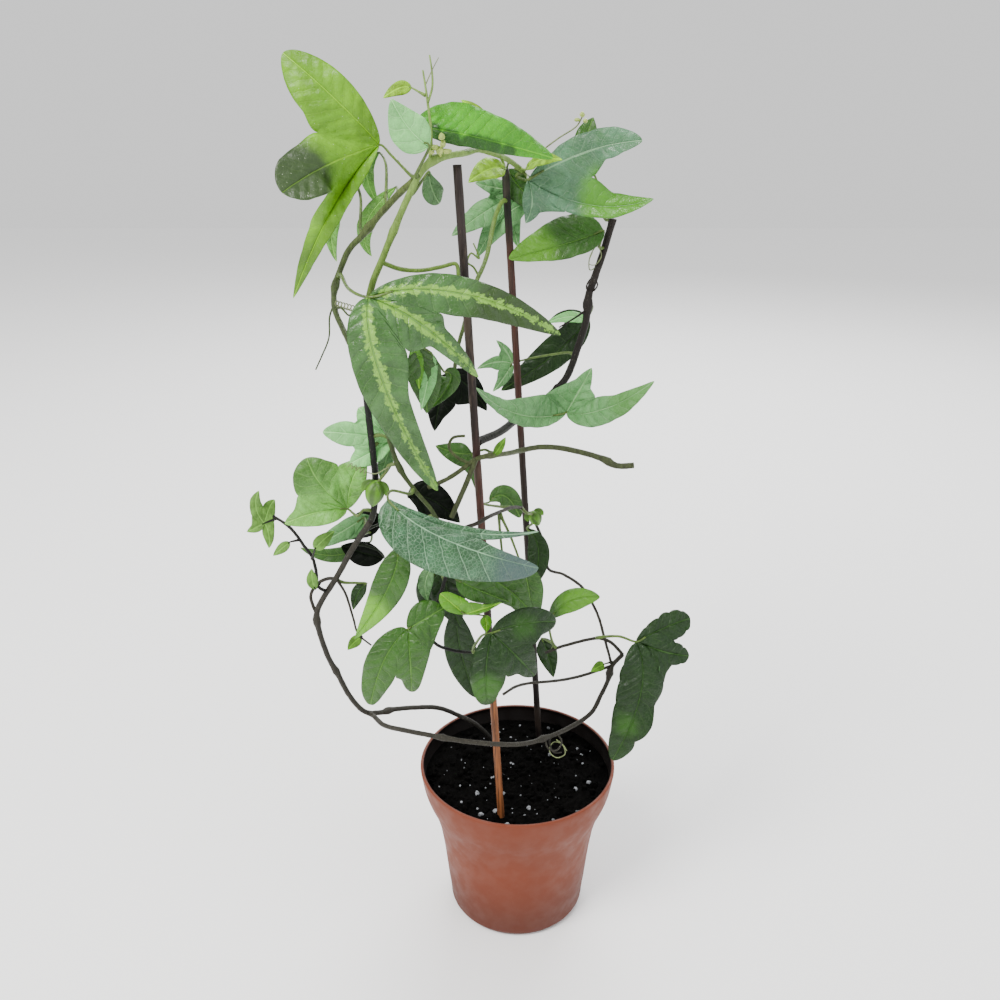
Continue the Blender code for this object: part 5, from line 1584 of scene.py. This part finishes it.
def grow_banded_leaf():
    """Large leaf with a pale band along each midrib, and the one behind it."""
    leaf(
        "leaf_banded", (-68, -78, 408),
        [
            lobe((-28, -75, 409), (17, -60, 387), 7.5, 9, wave=0.6, peak=0.95, blunt=0.65),
            lobe((-44, -78, 395), (-21, -64, 368), 5.4, 5.4, peak=0.95, blunt=0.65),
            lobe((-63, -87, 374), (-41, -66, 312), 9, 10.8, wave=0.9, peak=0.85, blunt=0.6)],
        "vine_left", (-88, -35, 408), "green", "banded", patches=[((4, -64, 394), 24, 18, 1.0)],
        via=[(-78, -66, 409)], sinus=0.34, face=(-0.1, -0.9, 0.42), stalk_radius=1.0)
    leaf(
        "leaf_behind_banded", (-50, -64, 383), [lobe((-46, -60, 367), (-46, -54, 347), 8, 8)],
        "vine_left", (-73, -67, 373), "grey", "low_green", via=[(-60, -68, 382)])


def grow_middle_leaves():
    """Leaves between the stakes."""
    leaf(
        "leaf_black", (-38, 2, 351),
        [lobe((-28, 2, 344), (-18, 6, 329), 7, 7), lobe((-43, 2, 336), (-46, -2, 320), 6, 7)],
        "vine_thin", (-34, -24, 357), "dark", "black", via=[(-36, -8, 356)], sinus=0.5)
    leaf(
        "leaf_left_of_stake", (-25, -31, 318),
        [
            lobe((-24, -29, 308), (-23, -27, 295), 2.8, 2.8),
            lobe((-33, -30, 318), (-44, -28, 321), 5.5, 5.5)],
        "vine_cut", (-11, -38, 320), "green", via=[(-19, -31, 320)])
    leaf(
        "leaf_dark_right", (40, 62, 367),
        [
            lobe((22, 63, 346), (-10, 63, 323), 8.5, 10, wave=0.5, blunt=0.65),
            lobe((29, 61, 369), (18, 57, 367), 3, 3)],
        "vine_woody", (38, 45, 378), "dark", via=[(42, 57, 374)], sinus=0.3)
    leaf(
        "leaf_small_middle", (-4, 54, 342),
        [
            lobe((-8, 55, 334), (-15, 54, 325), 3.4, 3.4),
            lobe((-13, 54, 343), (-24, 50, 340), 3.4, 3),
            lobe((-7, 54, 349), (-13, 53, 356), 2.6, 2.6)],
        "vine_woody", (32, 43, 350), "mint", via=[(8, 55, 345), (22, 53, 348)])
    leaf(
        "leaf_mint_right", (26, 18, 324),
        [
            lobe((0, 2, 328), (-23, -28, 352), 7, 7, wave=0.4),
            lobe((33, 18, 337), (39, 16, 350), 5.5, 5.5),
            lobe((46, 6, 330), (70, -6, 349), 6, 9, wave=0.5)],
        "vine_woody", (22, 37, 332), "mint", patches=[((60, -2, 342), 12, 10, 0.55)], via=[(28, 26, 326)],
        face=(0.0, -0.75, 0.65))
    leaf(
        "leaf_mint_left", (-63, -53, 334),
        [
            lobe((-73, -55, 328), (-84, -56, 322), 6, 6, peak=1.1, blunt=0.6),
            lobe((-79, -53, 336), (-97, -52, 337), 8, 8, wave=0.6, peak=0.8, blunt=0.6),
            lobe((-72, -53, 342), (-79, -51, 349), 6, 6, peak=1.1, blunt=0.6)],
        "vine_green", (-73, -58, 337), "mint", "lit_mint", via=[(-64, -57, 335)], sinus=0.5)
    leaf(
        "leaf_olive_left", (-87, -54, 297),
        [
            lobe((-101, -58, 297), (-119, -54, 289), 7, 7, wave=0.5, blunt=0.65),
            lobe((-98, -60, 312), (-105, -56, 325), 12, 11, wave=0.8, peak=1.3, blunt=0.55),
            lobe((-84, -57, 312), (-77, -55, 325), 7, 7, peak=1.1, blunt=0.6)],
        "vine_green", (-74, -53, 296), "green", "olive", patches=[((-104, -58, 318), 8, 9, 0.6)],
        via=[(-82, -56, 294)], sinus=0.55)
    leaf(
        "leaf_netted_small", (-64, -44, 328), [lobe((-68, -43, 319), (-71, -43, 308), 4, 4)],
        "vine_green", (-72, -50, 332), "grey")
    leaf(
        "leaf_round_small", (-17, 20, 269),
        [lobe((-8, 22, 272), (1, 25, 257), 6.5, 6.5, peak=1.2, blunt=0.6)],
        "vine_mid", (-5, -8, 277), "green", via=[(-20, 10, 272)])


def grow_long_leaf():
    """Long leaf with a pale net of veins."""
    leaf(
        "leaf_long_front", (-63, -84, 315),
        [
            lobe((-30, -84, 299), (8, -66, 290), 3, 3, fold=(-30, 0)),
            lobe((-37, -93, 299), (8, -72, 273), 6, 17, fold=(-10, -6), wave=0.6, peak=0.85, blunt=0.5)],
        "vine_left", (-53, -64, 312), "grey", "netted", patches=[((0, -78, 275), 9, 16, 0.9)],
        via=[(-62, -76, 316)], sinus=0.5, face=(0.05, -0.9, 0.42), keel_lobe=1)


def grow_low_leaves():
    """Leaves of the lower cluster."""
    leaf(
        "leaf_mint_fold", (-62, -60, 279), [lobe((-67, -65, 259), (-87, -57, 224), 8.5, 8.5, wave=0.6)],
        "vine_left", (-43, -63, 298), "green", "low_green", patches=[((-80, -60, 238), 9, 12, 0.85)],
        via=[(-54, -62, 290)])
    leaf(
        "leaf_three_left", (-58, -68, 236),
        [
            lobe((-50, -67, 241), (-40, -62, 245), 9, 8, peak=1.3, blunt=0.5),
            lobe((-57, -73, 221), (-57, -69, 199), 7, 6, peak=1.2, blunt=0.45),
            lobe((-70, -73, 221), (-79, -69, 191), 8, 9, wave=1.0, peak=1.15, blunt=0.45)],
        "vine_left", (-48, -52, 225), "green", "low_green", via=[(-56, -62, 233)], sinus=0.55)
    leaf(
        "leaf_yellow_small", (-29, -63, 242),
        [
            lobe((-35, -65, 249), (-41, -65, 255), 4.6, 4.6, peak=1.3, blunt=0.6),
            lobe((-20, -67, 247), (-10, -67, 251), 1.8, 1.8)],
        "vine_left", (-43, -54, 246), "bright", via=[(-33, -59, 241)],
        extra=side_leaf(
            (-19, -61, 240), [lobe((-18, -61, 236), (-18, -61, 230), 3.2, 3.2)],
            (-29, -63, 242.5)))
    leaf(
        "leaf_three_front", (-15, -70, 235),
        [
            lobe((1, -71, 241), (18, -62, 237), 8, 8, peak=1.2, blunt=0.5),
            lobe((-3, -75, 225), (7, -69, 209), 7, 7, wave=0.8, peak=1.1, blunt=0.5),
            lobe((-18, -77, 216), (-17, -72, 193), 8, 8, wave=1.0, peak=1.1, blunt=0.42)],
        "vine_left", (-25, -51, 212), "dark",
        patches=[((-18, -76, 205), 5, 9, 0.8), ((2, -72, 240), 2, 8, 0.4)],
        via=[(-20, -64, 230), (-24, -57, 220)], sinus=0.5)
    leaf(
        "leaf_bright_right", (18, -7, 207),
        [lobe((29, -9, 220), (46, -10, 223), 6.5, 6.5, wave=0.4, peak=1.1, blunt=0.65)],
        "arc_low", (22, -8, 188), "green", "low_green", patches=[((35, -10, 217), 8, 8, 0.5)],
        via=[(18, -9, 200)])
    leaf(
        "leaf_dark_low", (14, 7, 186), [lobe((18, 9, 174), (22, 11, 156), 6, 6)],
        "arc_low", (20, -7, 187), "dark")
    leaf(
        "leaf_hanging_dark", (-35, -30, 226),
        [lobe((-33, -27, 199), (-25, -25, 166), 9, 9, peak=1.1, blunt=0.65)],
        "vine_left", (-42, -54, 246), "dark", via=[(-37, -38, 237)])
    leaf(
        "leaf_cluster_a", (-33, -61, 261), [lobe((-22, -61, 255), (-6, -57, 246), 6.5, 6.5)],
        "vine_left", (-38, -56, 266), "green", "low_green")
    leaf(
        "leaf_cluster_b", (-8, -25, 247), [lobe((-3, -24, 235), (1, -22, 219), 8, 8)],
        "vine_mid", (-11, -26, 283), "green", "low_green", via=[(-10, -25, 262)])
    leaf(
        "leaf_cluster_c", (-45, -60, 268), [lobe((-49, -59, 258), (-48, -58, 247), 4, 4)],
        "vine_left", (-38, -58, 274), "grey")
    leaf(
        "leaf_beside_stake", (5, 25, 250), [lobe((12, 20, 236), (6, 14, 213), 6.5, 6.5, peak=1.05)],
        "arc_high", (9, 37, 251), "dark")


def grow_wavy_leaf():
    """Large wavy leaf over the rim."""
    leaf(
        "leaf_wavy_right", (67, -17, 198),
        [
            lobe(
                (85, -12, 205), (99, -6, 207), 8, 9, wave=1.6, peak=1.25, blunt=0.5,
                scallops=(0.12, 0.12)),
            lobe(
                (84, -18, 192), (98, -16, 188), 7, 7, wave=1.6, peak=1.25, blunt=0.5,
                scallops=(0.16, 0.10)),
            lobe(
                (70, -27, 170), (55, -32, 127), 13, 14, wave=2.2, peak=0.95, blunt=0.5,
                scallops=(0.30, 0.06))],
        "arc_low", (46, -8, 195), "dark", patches=[((62, -30, 150), 2, 8, 0.6)], via=[(57, -16, 201)],
        sinus=0.4, face=(-0.1, -0.9, 0.42), stalk_radius=1.0)


def grow_side_leaves():
    """Small leaves of the left side."""
    leaf(
        "leaf_boat", (-80, -29, 267), [lobe((-99, -29, 259), (-118, -28, 263), 4, 4)],
        "vine_brown", (-81, -52, 281), "green", via=[(-78, -38, 276)])
    leaf(
        "leaf_mint_low", (-81, -40, 286), [lobe((-95, -38, 276), (-110, -34, 266), 4.6, 4.6, wave=0.4)],
        "vine_brown", (-79, -53, 285), "mint")
    leaf(
        "leaf_black_left", (-72, -38, 262), [lobe((-84, -36, 264), (-95, -34, 267), 7, 6)],
        "vine_brown", (-84, -51, 276), "dark", "black", via=[(-74, -44, 269)])
    leaf(
        "leaf_dark_small", (-81, -44, 250), [lobe((-86, -44, 244), (-89, -44, 234), 3.6, 3.6)],
        "vine_brown", (-97, -46, 253), "dark")


def grow_back_leaves():
    """Small leaves that fill the shade behind the large ones."""
    small_leaf(
        "back_leaf_bright", (-50.9, -66, 383.7), (-49.2, -62, 374), (-48.8, -60, 361), 3.2, "vine_left",
        (-73, -67, 373), "bright", via=[(-61, -68, 385)])
    # Painted light: this leaf wears the lit copy of the pale underside.
    small_leaf(
        "back_leaf_lit", (-42.5, -62, 379), (-44.5, -60, 366), (-48.4, -58, 350), 4.0, "vine_left",
        (-73, -67, 376), "mint", "lit_mint", via=[(-56, -66, 386)])
    small_leaf(
        "back_leaf_curled", (-37.2, -55, 368), (-34.4, -54, 363), (-44, -52, 349), 4.6, "vine_left",
        (-75, -66, 379), "green", "low_green", via=[(-44, -59, 378), (-58, -63, 384)])
    small_leaf(
        "back_leaf_edge", (38, 48, 367.5), (29, 51, 370), (15, 54, 365.5), 3.2, "vine_woody",
        (37, 44, 371), "mint", "lit_mint")
    small_leaf(
        "back_leaf_shaded_a", (-56, -58, 305), (-45, -56, 303), (-31, -53, 289), 8.5, "vine_left",
        (-52, -64, 311), "dark", "black")
    small_leaf(
        "back_leaf_shaded_b", (-71, -41, 284), (-82, -38, 281), (-95, -36, 271), 7.0, "vine_brown",
        (-79, -53, 285), "dark", "black")
    small_leaf(
        "back_leaf_mint", (-76, -42, 286), (-89, -38, 279), (-108, -35, 267), 5.6, "vine_brown",
        (-78, -53, 287), "mint")
    small_leaf(
        "back_leaf_shaded_c", (-39, -49, 259), (-38, -47, 244), (-32, -45, 224), 9.0, "vine_left",
        (-39, -55.5, 261), "dark")
    small_leaf(
        "back_leaf_cluster_a", (-27, -47, 258), (-10, -46, 250), (7, -42, 230), 9.0, "vine_left",
        (-38, -56, 267), "green", "low_green", via=[(-33, -51, 262)])
    small_leaf(
        "back_leaf_cluster_b", (1, -33, 254), (5, -31, 238), (7, -29, 213), 8.0, "vine_mid",
        (-11, -26, 283), "green", via=[(-5, -30, 270)])
    small_leaf(
        "back_leaf_cluster_c", (-44, -43, 256), (-49, -42, 245), (-50, -41, 228), 6.5, "vine_left",
        (-39, -55, 257), "dark")
    small_leaf(
        "back_leaf_stakes_a", (-7, 53, 450), (1, 54, 439), (12, 56, 430), 8.0, "vine_green",
        (-4, 38, 454), "green", "low_green", via=[(-6, 46, 455)])
    small_leaf(
        "back_leaf_stakes_b", (6, 58, 431), (-9, 57, 424), (-24, 55, 402), 7.5, "vine_green",
        (2, 46, 449), "grey", "mint", via=[(7, 56, 441)])


# Buds
def bud_skin(centre, direction, width, length):
    """Ridged ovoid skin of a bud about its axis."""
    ridges = bpy.context.scene.vine_buds.ridges
    side = direction.orthogonal().normalized()
    other = direction.cross(side)
    points = []
    shares = []
    for ring in range(BUD_RINGS + 1):
        share = ring / BUD_RINGS
        girth = 0.5 * width * max(0.10, math.sin(math.pi * (0.05 + 0.93 * share ** 0.85)) ** 0.72)
        for k in range(BUD_SEGMENTS):
            angle = math.tau * k / BUD_SEGMENTS
            ridge = abs(math.cos(angle * ridges / 2))
            swell = 1.0 + BUD_RIDGE * (ridge ** 0.6 - 0.5) * math.sin(math.pi * share) ** 0.5
            out = side * math.cos(angle) + other * math.sin(angle)
            points.append(vec(centre) + direction * length * (share - 0.5) + out * girth * swell)
            shares.append(ridge)
    return points, ring_faces(BUD_RINGS + 1, BUD_SEGMENTS), {"share": shares}


def bract(top, direction, width, length, turn, lift):
    """Small pointed leaf at the top of a bud, turned to a side and lifted off it."""
    across = direction.cross(Vector((0.0, 1.0, 0.0))).normalized()
    base = top + across * (turn * 0.8) + Vector((0, lift, 0))
    bend = base + across * (turn * width * 0.42) + direction * length * 0.2
    bend += Vector((0, lift * 0.6, 0))
    tip = base + across * (turn * width * 0.50) + direction * length * 0.52
    tip += Vector((0, lift * 0.9, 0))
    return blade(base, [lobe(bend, tip, BRACT_WIDTH, BRACT_WIDTH)], FACE_LEVEL, flutter=0.3)


def bud(name, centre, axis, width, length, points, host, root):
    """Flower bud with its bracts, on its stalk."""
    direction = vec(axis).normalized()
    top = vec(centre) - direction * length * 0.5
    piece = Piece()
    piece.add(bud_skin(centre, direction, width, length))
    piece.add(stalk([top + direction * 2.0, *points], 0.7, 0.8, host, root))
    for turn, lift in BRACTS:
        piece.add(bract(top, direction, width, length, turn, lift))
    piece.make("fine_" + name, bud_finish(), [name])


def grow_buds():
    bud(
        "bud_left", (-72, -63, 309), (-0.2, 0.0, -1.0), 9.4, 13.5, [(-66, -62, 320)], "vine_left",
        (-60, -64, 325))
    bud("bud_right", (10, 24, 257), (0.45, -0.1, -1.0), 7.8, 9.5, [], "vine_mid", (1, 12, 269))


def grow_tendrils():
    """Loose tendrils, a thin side shoot and the tiny pale buds on the arch."""
    radius = bpy.context.scene.vine_tendrils.radius / MM
    piece = Piece()
    parts = [
        tendril(
            [
                (22, -30, 140), (26, -30, 136), (27, -33, 132), (22, -35, 131), (18, -33, 134),
                (20, -30, 138), (25, -31, 138), (28, -34, 135)],
            radius, radius * 0.7),
        tendril(
            [
                (45, 50, 400), (39, 47, 397), (38.5, 46, 404), (42, 46, 410), (45, 47, 405),
                (42, 47, 400), (38, 46, 401), (40, 46, 407)],
            radius, radius * 0.6),
        coil((-88, -46, 398.5), (17, -23, 1), 1.3, 9.0, 3.0, radius * 0.9),
        coil((-33, -50, 408), (0.9, -0.1, -0.3), 2.6, 3.0, 3.2, radius, tighten=0.3),
        coil((-76, -62, 320), (-1.0, 0.0, 0.5), 1.2, 4.0, 2.2, radius * 0.8),
        tendril(
            [(-60, -64, 326), (-66, -63, 322), (-71, -62, 319), (-76, -62, 320)], radius, radius * 0.8),
        tendril([(-43, -47, 493), (-40, -46, 499), (-37, -46, 504)], radius * 0.8, radius * 0.5),
        tendril(
            [(2, 45.5, 449.5), (9, 42, 458), (19, 38, 466), (28, 34, 472), (31, 32, 477)], radius * 1.3,
            radius)]
    for part in parts:
        piece.add(part)
    piece.make("loose_tendrils", tendril_finish())
    sprouts = Piece()
    random.seed(5)
    places = [
        (-37, -53, 466.5), (-35.5, -53, 469.5), (-39, -53, 468), (-36, -54, 472.5), (-41, -53, 466),
        (-34, -52, 466.5), (31, 32, 478), (28.5, 33, 475.5), (32.5, 31.5, 475)]
    for place in places:
        sprouts.add(chip(place, 1.7, 0.35, 2))
    sprouts.add(twig([(-37, -49.5, 463.5), (-37, -52, 466), (-36, -53.5, 470)], 0.6, 0.5))
    sprouts.make("tiny_buds", sprout_finish())
    shoot = Piece()
    shoot.add(
        twig(
            [(-97, -46, 254), (-92, -48, 246), (-88.5, -50, 233), (-86, -52, 224), (-79, -54, 218)], 0.8,
            0.5))
    lobes = [lobe((-88, -52, 219), (-92, -52, 214), 3, 3)]
    for part in side_leaf((-84, -52, 222), lobes, (-85.5, -52, 223.5)):
        shoot.add(part)
    shoot.make("thin_shoot", FINISHES["stem_brown"])


def lay_floor(colour):
    """Plain floor under the pot."""
    half = STAGE_SIZE / 2
    mesh = bpy.data.meshes.new("floor")
    mesh.from_pydata([(-half, -half, 0), (half, -half, 0), (half, half, 0), (-half, half, 0)], [],
                     [(0, 1, 2, 3)])
    floor = bpy.data.objects.new("floor", mesh)
    bpy.context.scene.collection.objects.link(floor)
    mesh.materials.append(Finish("pale_floor").done(colour, 0.9, 0.1))


def hang_lights(key_power):
    """White surroundings and three soft lights aimed at the plant."""
    scene = bpy.context.scene
    world = bpy.data.worlds.new("studio")
    world.use_nodes = True
    background = world.node_tree.nodes["Background"]
    background.inputs["Color"].default_value = (1.0, 1.0, 1.0, 1.0)
    background.inputs["Strength"].default_value = 1.0
    scene.world = world
    for name, place, size, share, colour in LIGHTS:
        light = bpy.data.lights.new(name, "AREA")
        light.size = size
        light.energy = key_power * share
        light.color = colour
        lamp = bpy.data.objects.new(name, light)
        lamp.location = place
        lamp.rotation_euler = (Vector(LIGHT_AIM) - Vector(place)).to_track_quat("-Z", "Y").to_euler()
        scene.collection.objects.link(lamp)


def set_camera(lens):
    """Camera in front of the plant, looking a little down."""
    scene = bpy.context.scene
    camera = bpy.data.cameras.new("camera")
    camera.sensor_width = SENSOR_WIDTH
    camera.lens = lens
    camera.clip_start = 0.01
    viewer = bpy.data.objects.new("camera", camera)
    viewer.location = vec(CAMERA_PLACE) * MM
    viewer.rotation_euler = (math.radians(90.0 - CAMERA_PITCH), 0.0, 0.0)
    scene.collection.objects.link(viewer)
    scene.camera = viewer


class VINE_OT_stage(bpy.types.Operator):
    """Lay the pale floor, hang the soft lights and set the camera"""
    bl_idname = "vine.stage"
    bl_label = "Floor, light and camera"

    def execute(self, context):
        settings = context.scene.vine_stage
        lay_floor(tuple(settings.floor_colour))
        hang_lights(settings.key_power)
        set_camera(settings.lens)
        return {"FINISHED"}


# Steps that grow the plant
class VINE_OT_stems(bpy.types.Operator):
    """Wind the stems round the stakes"""
    bl_idname = "vine.stems"
    bl_label = "Stems"

    def execute(self, context):
        grow_stems()
        return {"FINISHED"}


class VINE_OT_top_leaves(bpy.types.Operator):
    """Grow the leaves at the top"""
    bl_idname = "vine.top_leaves"
    bl_label = "Top leaves"

    def execute(self, context):
        grow_top_leaves()
        return {"FINISHED"}


class VINE_OT_banded_leaf(bpy.types.Operator):
    """Grow the large banded leaf"""
    bl_idname = "vine.banded_leaf"
    bl_label = "Banded leaf"

    def execute(self, context):
        grow_banded_leaf()
        return {"FINISHED"}


class VINE_OT_middle_leaves(bpy.types.Operator):
    """Grow the leaves between the stakes"""
    bl_idname = "vine.middle_leaves"
    bl_label = "Middle leaves"

    def execute(self, context):
        grow_middle_leaves()
        return {"FINISHED"}


class VINE_OT_long_leaf(bpy.types.Operator):
    """Grow the long netted leaf"""
    bl_idname = "vine.long_leaf"
    bl_label = "Long netted leaf"

    def execute(self, context):
        grow_long_leaf()
        return {"FINISHED"}


class VINE_OT_low_leaves(bpy.types.Operator):
    """Grow the lower leaf cluster"""
    bl_idname = "vine.low_leaves"
    bl_label = "Lower leaves"

    def execute(self, context):
        grow_low_leaves()
        return {"FINISHED"}


class VINE_OT_wavy_leaf(bpy.types.Operator):
    """Grow the wavy leaf over the rim"""
    bl_idname = "vine.wavy_leaf"
    bl_label = "Wavy leaf"

    def execute(self, context):
        grow_wavy_leaf()
        return {"FINISHED"}


class VINE_OT_side_leaves(bpy.types.Operator):
    """Grow the small leaves on the left"""
    bl_idname = "vine.side_leaves"
    bl_label = "Left leaves"

    def execute(self, context):
        grow_side_leaves()
        return {"FINISHED"}


class VINE_OT_back_leaves(bpy.types.Operator):
    """Grow the small leaves in the shade"""
    bl_idname = "vine.back_leaves"
    bl_label = "Back leaves"

    def execute(self, context):
        grow_back_leaves()
        return {"FINISHED"}


class VINE_OT_buds(bpy.types.Operator):
    """Hang the two flower buds"""
    bl_idname = "vine.buds"
    bl_label = "Buds"

    def execute(self, context):
        grow_buds()
        return {"FINISHED"}


class VINE_OT_tendrils(bpy.types.Operator):
    """Curl the loose tendrils"""
    bl_idname = "vine.tendrils"
    bl_label = "Tendrils"

    def execute(self, context):
        grow_tendrils()
        return {"FINISHED"}


# Panel and registration
class VINE_PT_parts(bpy.types.Panel):
    """Sizes, colours and the steps that dress the plant"""
    bl_idname = "VINE_PT_parts"
    bl_label = "Passion Flower Vine"
    bl_space_type = "VIEW_3D"
    bl_region_type = "UI"
    bl_category = "Vine"

    def draw(self, context):
        for settings, steps in PANEL_ROWS:
            box = self.layout.box()
            group = getattr(context.scene, settings)
            for prop in type(group).__annotations__:
                box.prop(group, prop)
            for step in steps:
                box.operator(step.bl_idname)


PANEL_ROWS = (
    ("vine_pot", (VINE_OT_pot,)),
    ("vine_soil", (VINE_OT_soil,)),
    ("vine_stakes", (VINE_OT_stakes,)),
    ("vine_stems", (VINE_OT_finishes, VINE_OT_stems)),
    ("vine_leaves", (VINE_OT_top_leaves, VINE_OT_banded_leaf, VINE_OT_middle_leaves, VINE_OT_long_leaf,
                     VINE_OT_low_leaves, VINE_OT_wavy_leaf, VINE_OT_side_leaves, VINE_OT_back_leaves)),
    ("vine_buds", (VINE_OT_buds,)),
    ("vine_tendrils", (VINE_OT_tendrils,)),
    ("vine_stage", (VINE_OT_stage,)),
)


def register():
    """Register the settings, the steps and the panel."""
    for name, group in SETTINGS.items():
        bpy.utils.register_class(group)
        setattr(bpy.types.Scene, name, bpy.props.PointerProperty(type=group))
    for _, steps in PANEL_ROWS:
        for step in steps:
            bpy.utils.register_class(step)
    bpy.utils.register_class(VINE_PT_parts)


def unregister():
    """Take the settings, the steps and the panel away again."""
    bpy.utils.unregister_class(VINE_PT_parts)
    for _, steps in PANEL_ROWS:
        for step in steps:
            bpy.utils.unregister_class(step)
    for name, group in SETTINGS.items():
        delattr(bpy.types.Scene, name)
        bpy.utils.unregister_class(group)


def main():
    """Dress the part step by step."""
    register()
    for _, steps in PANEL_ROWS:
        for step in steps:
            group, name = step.bl_idname.split(".")
            getattr(getattr(bpy.ops, group), name)()


if __name__ == "__main__":
    main()
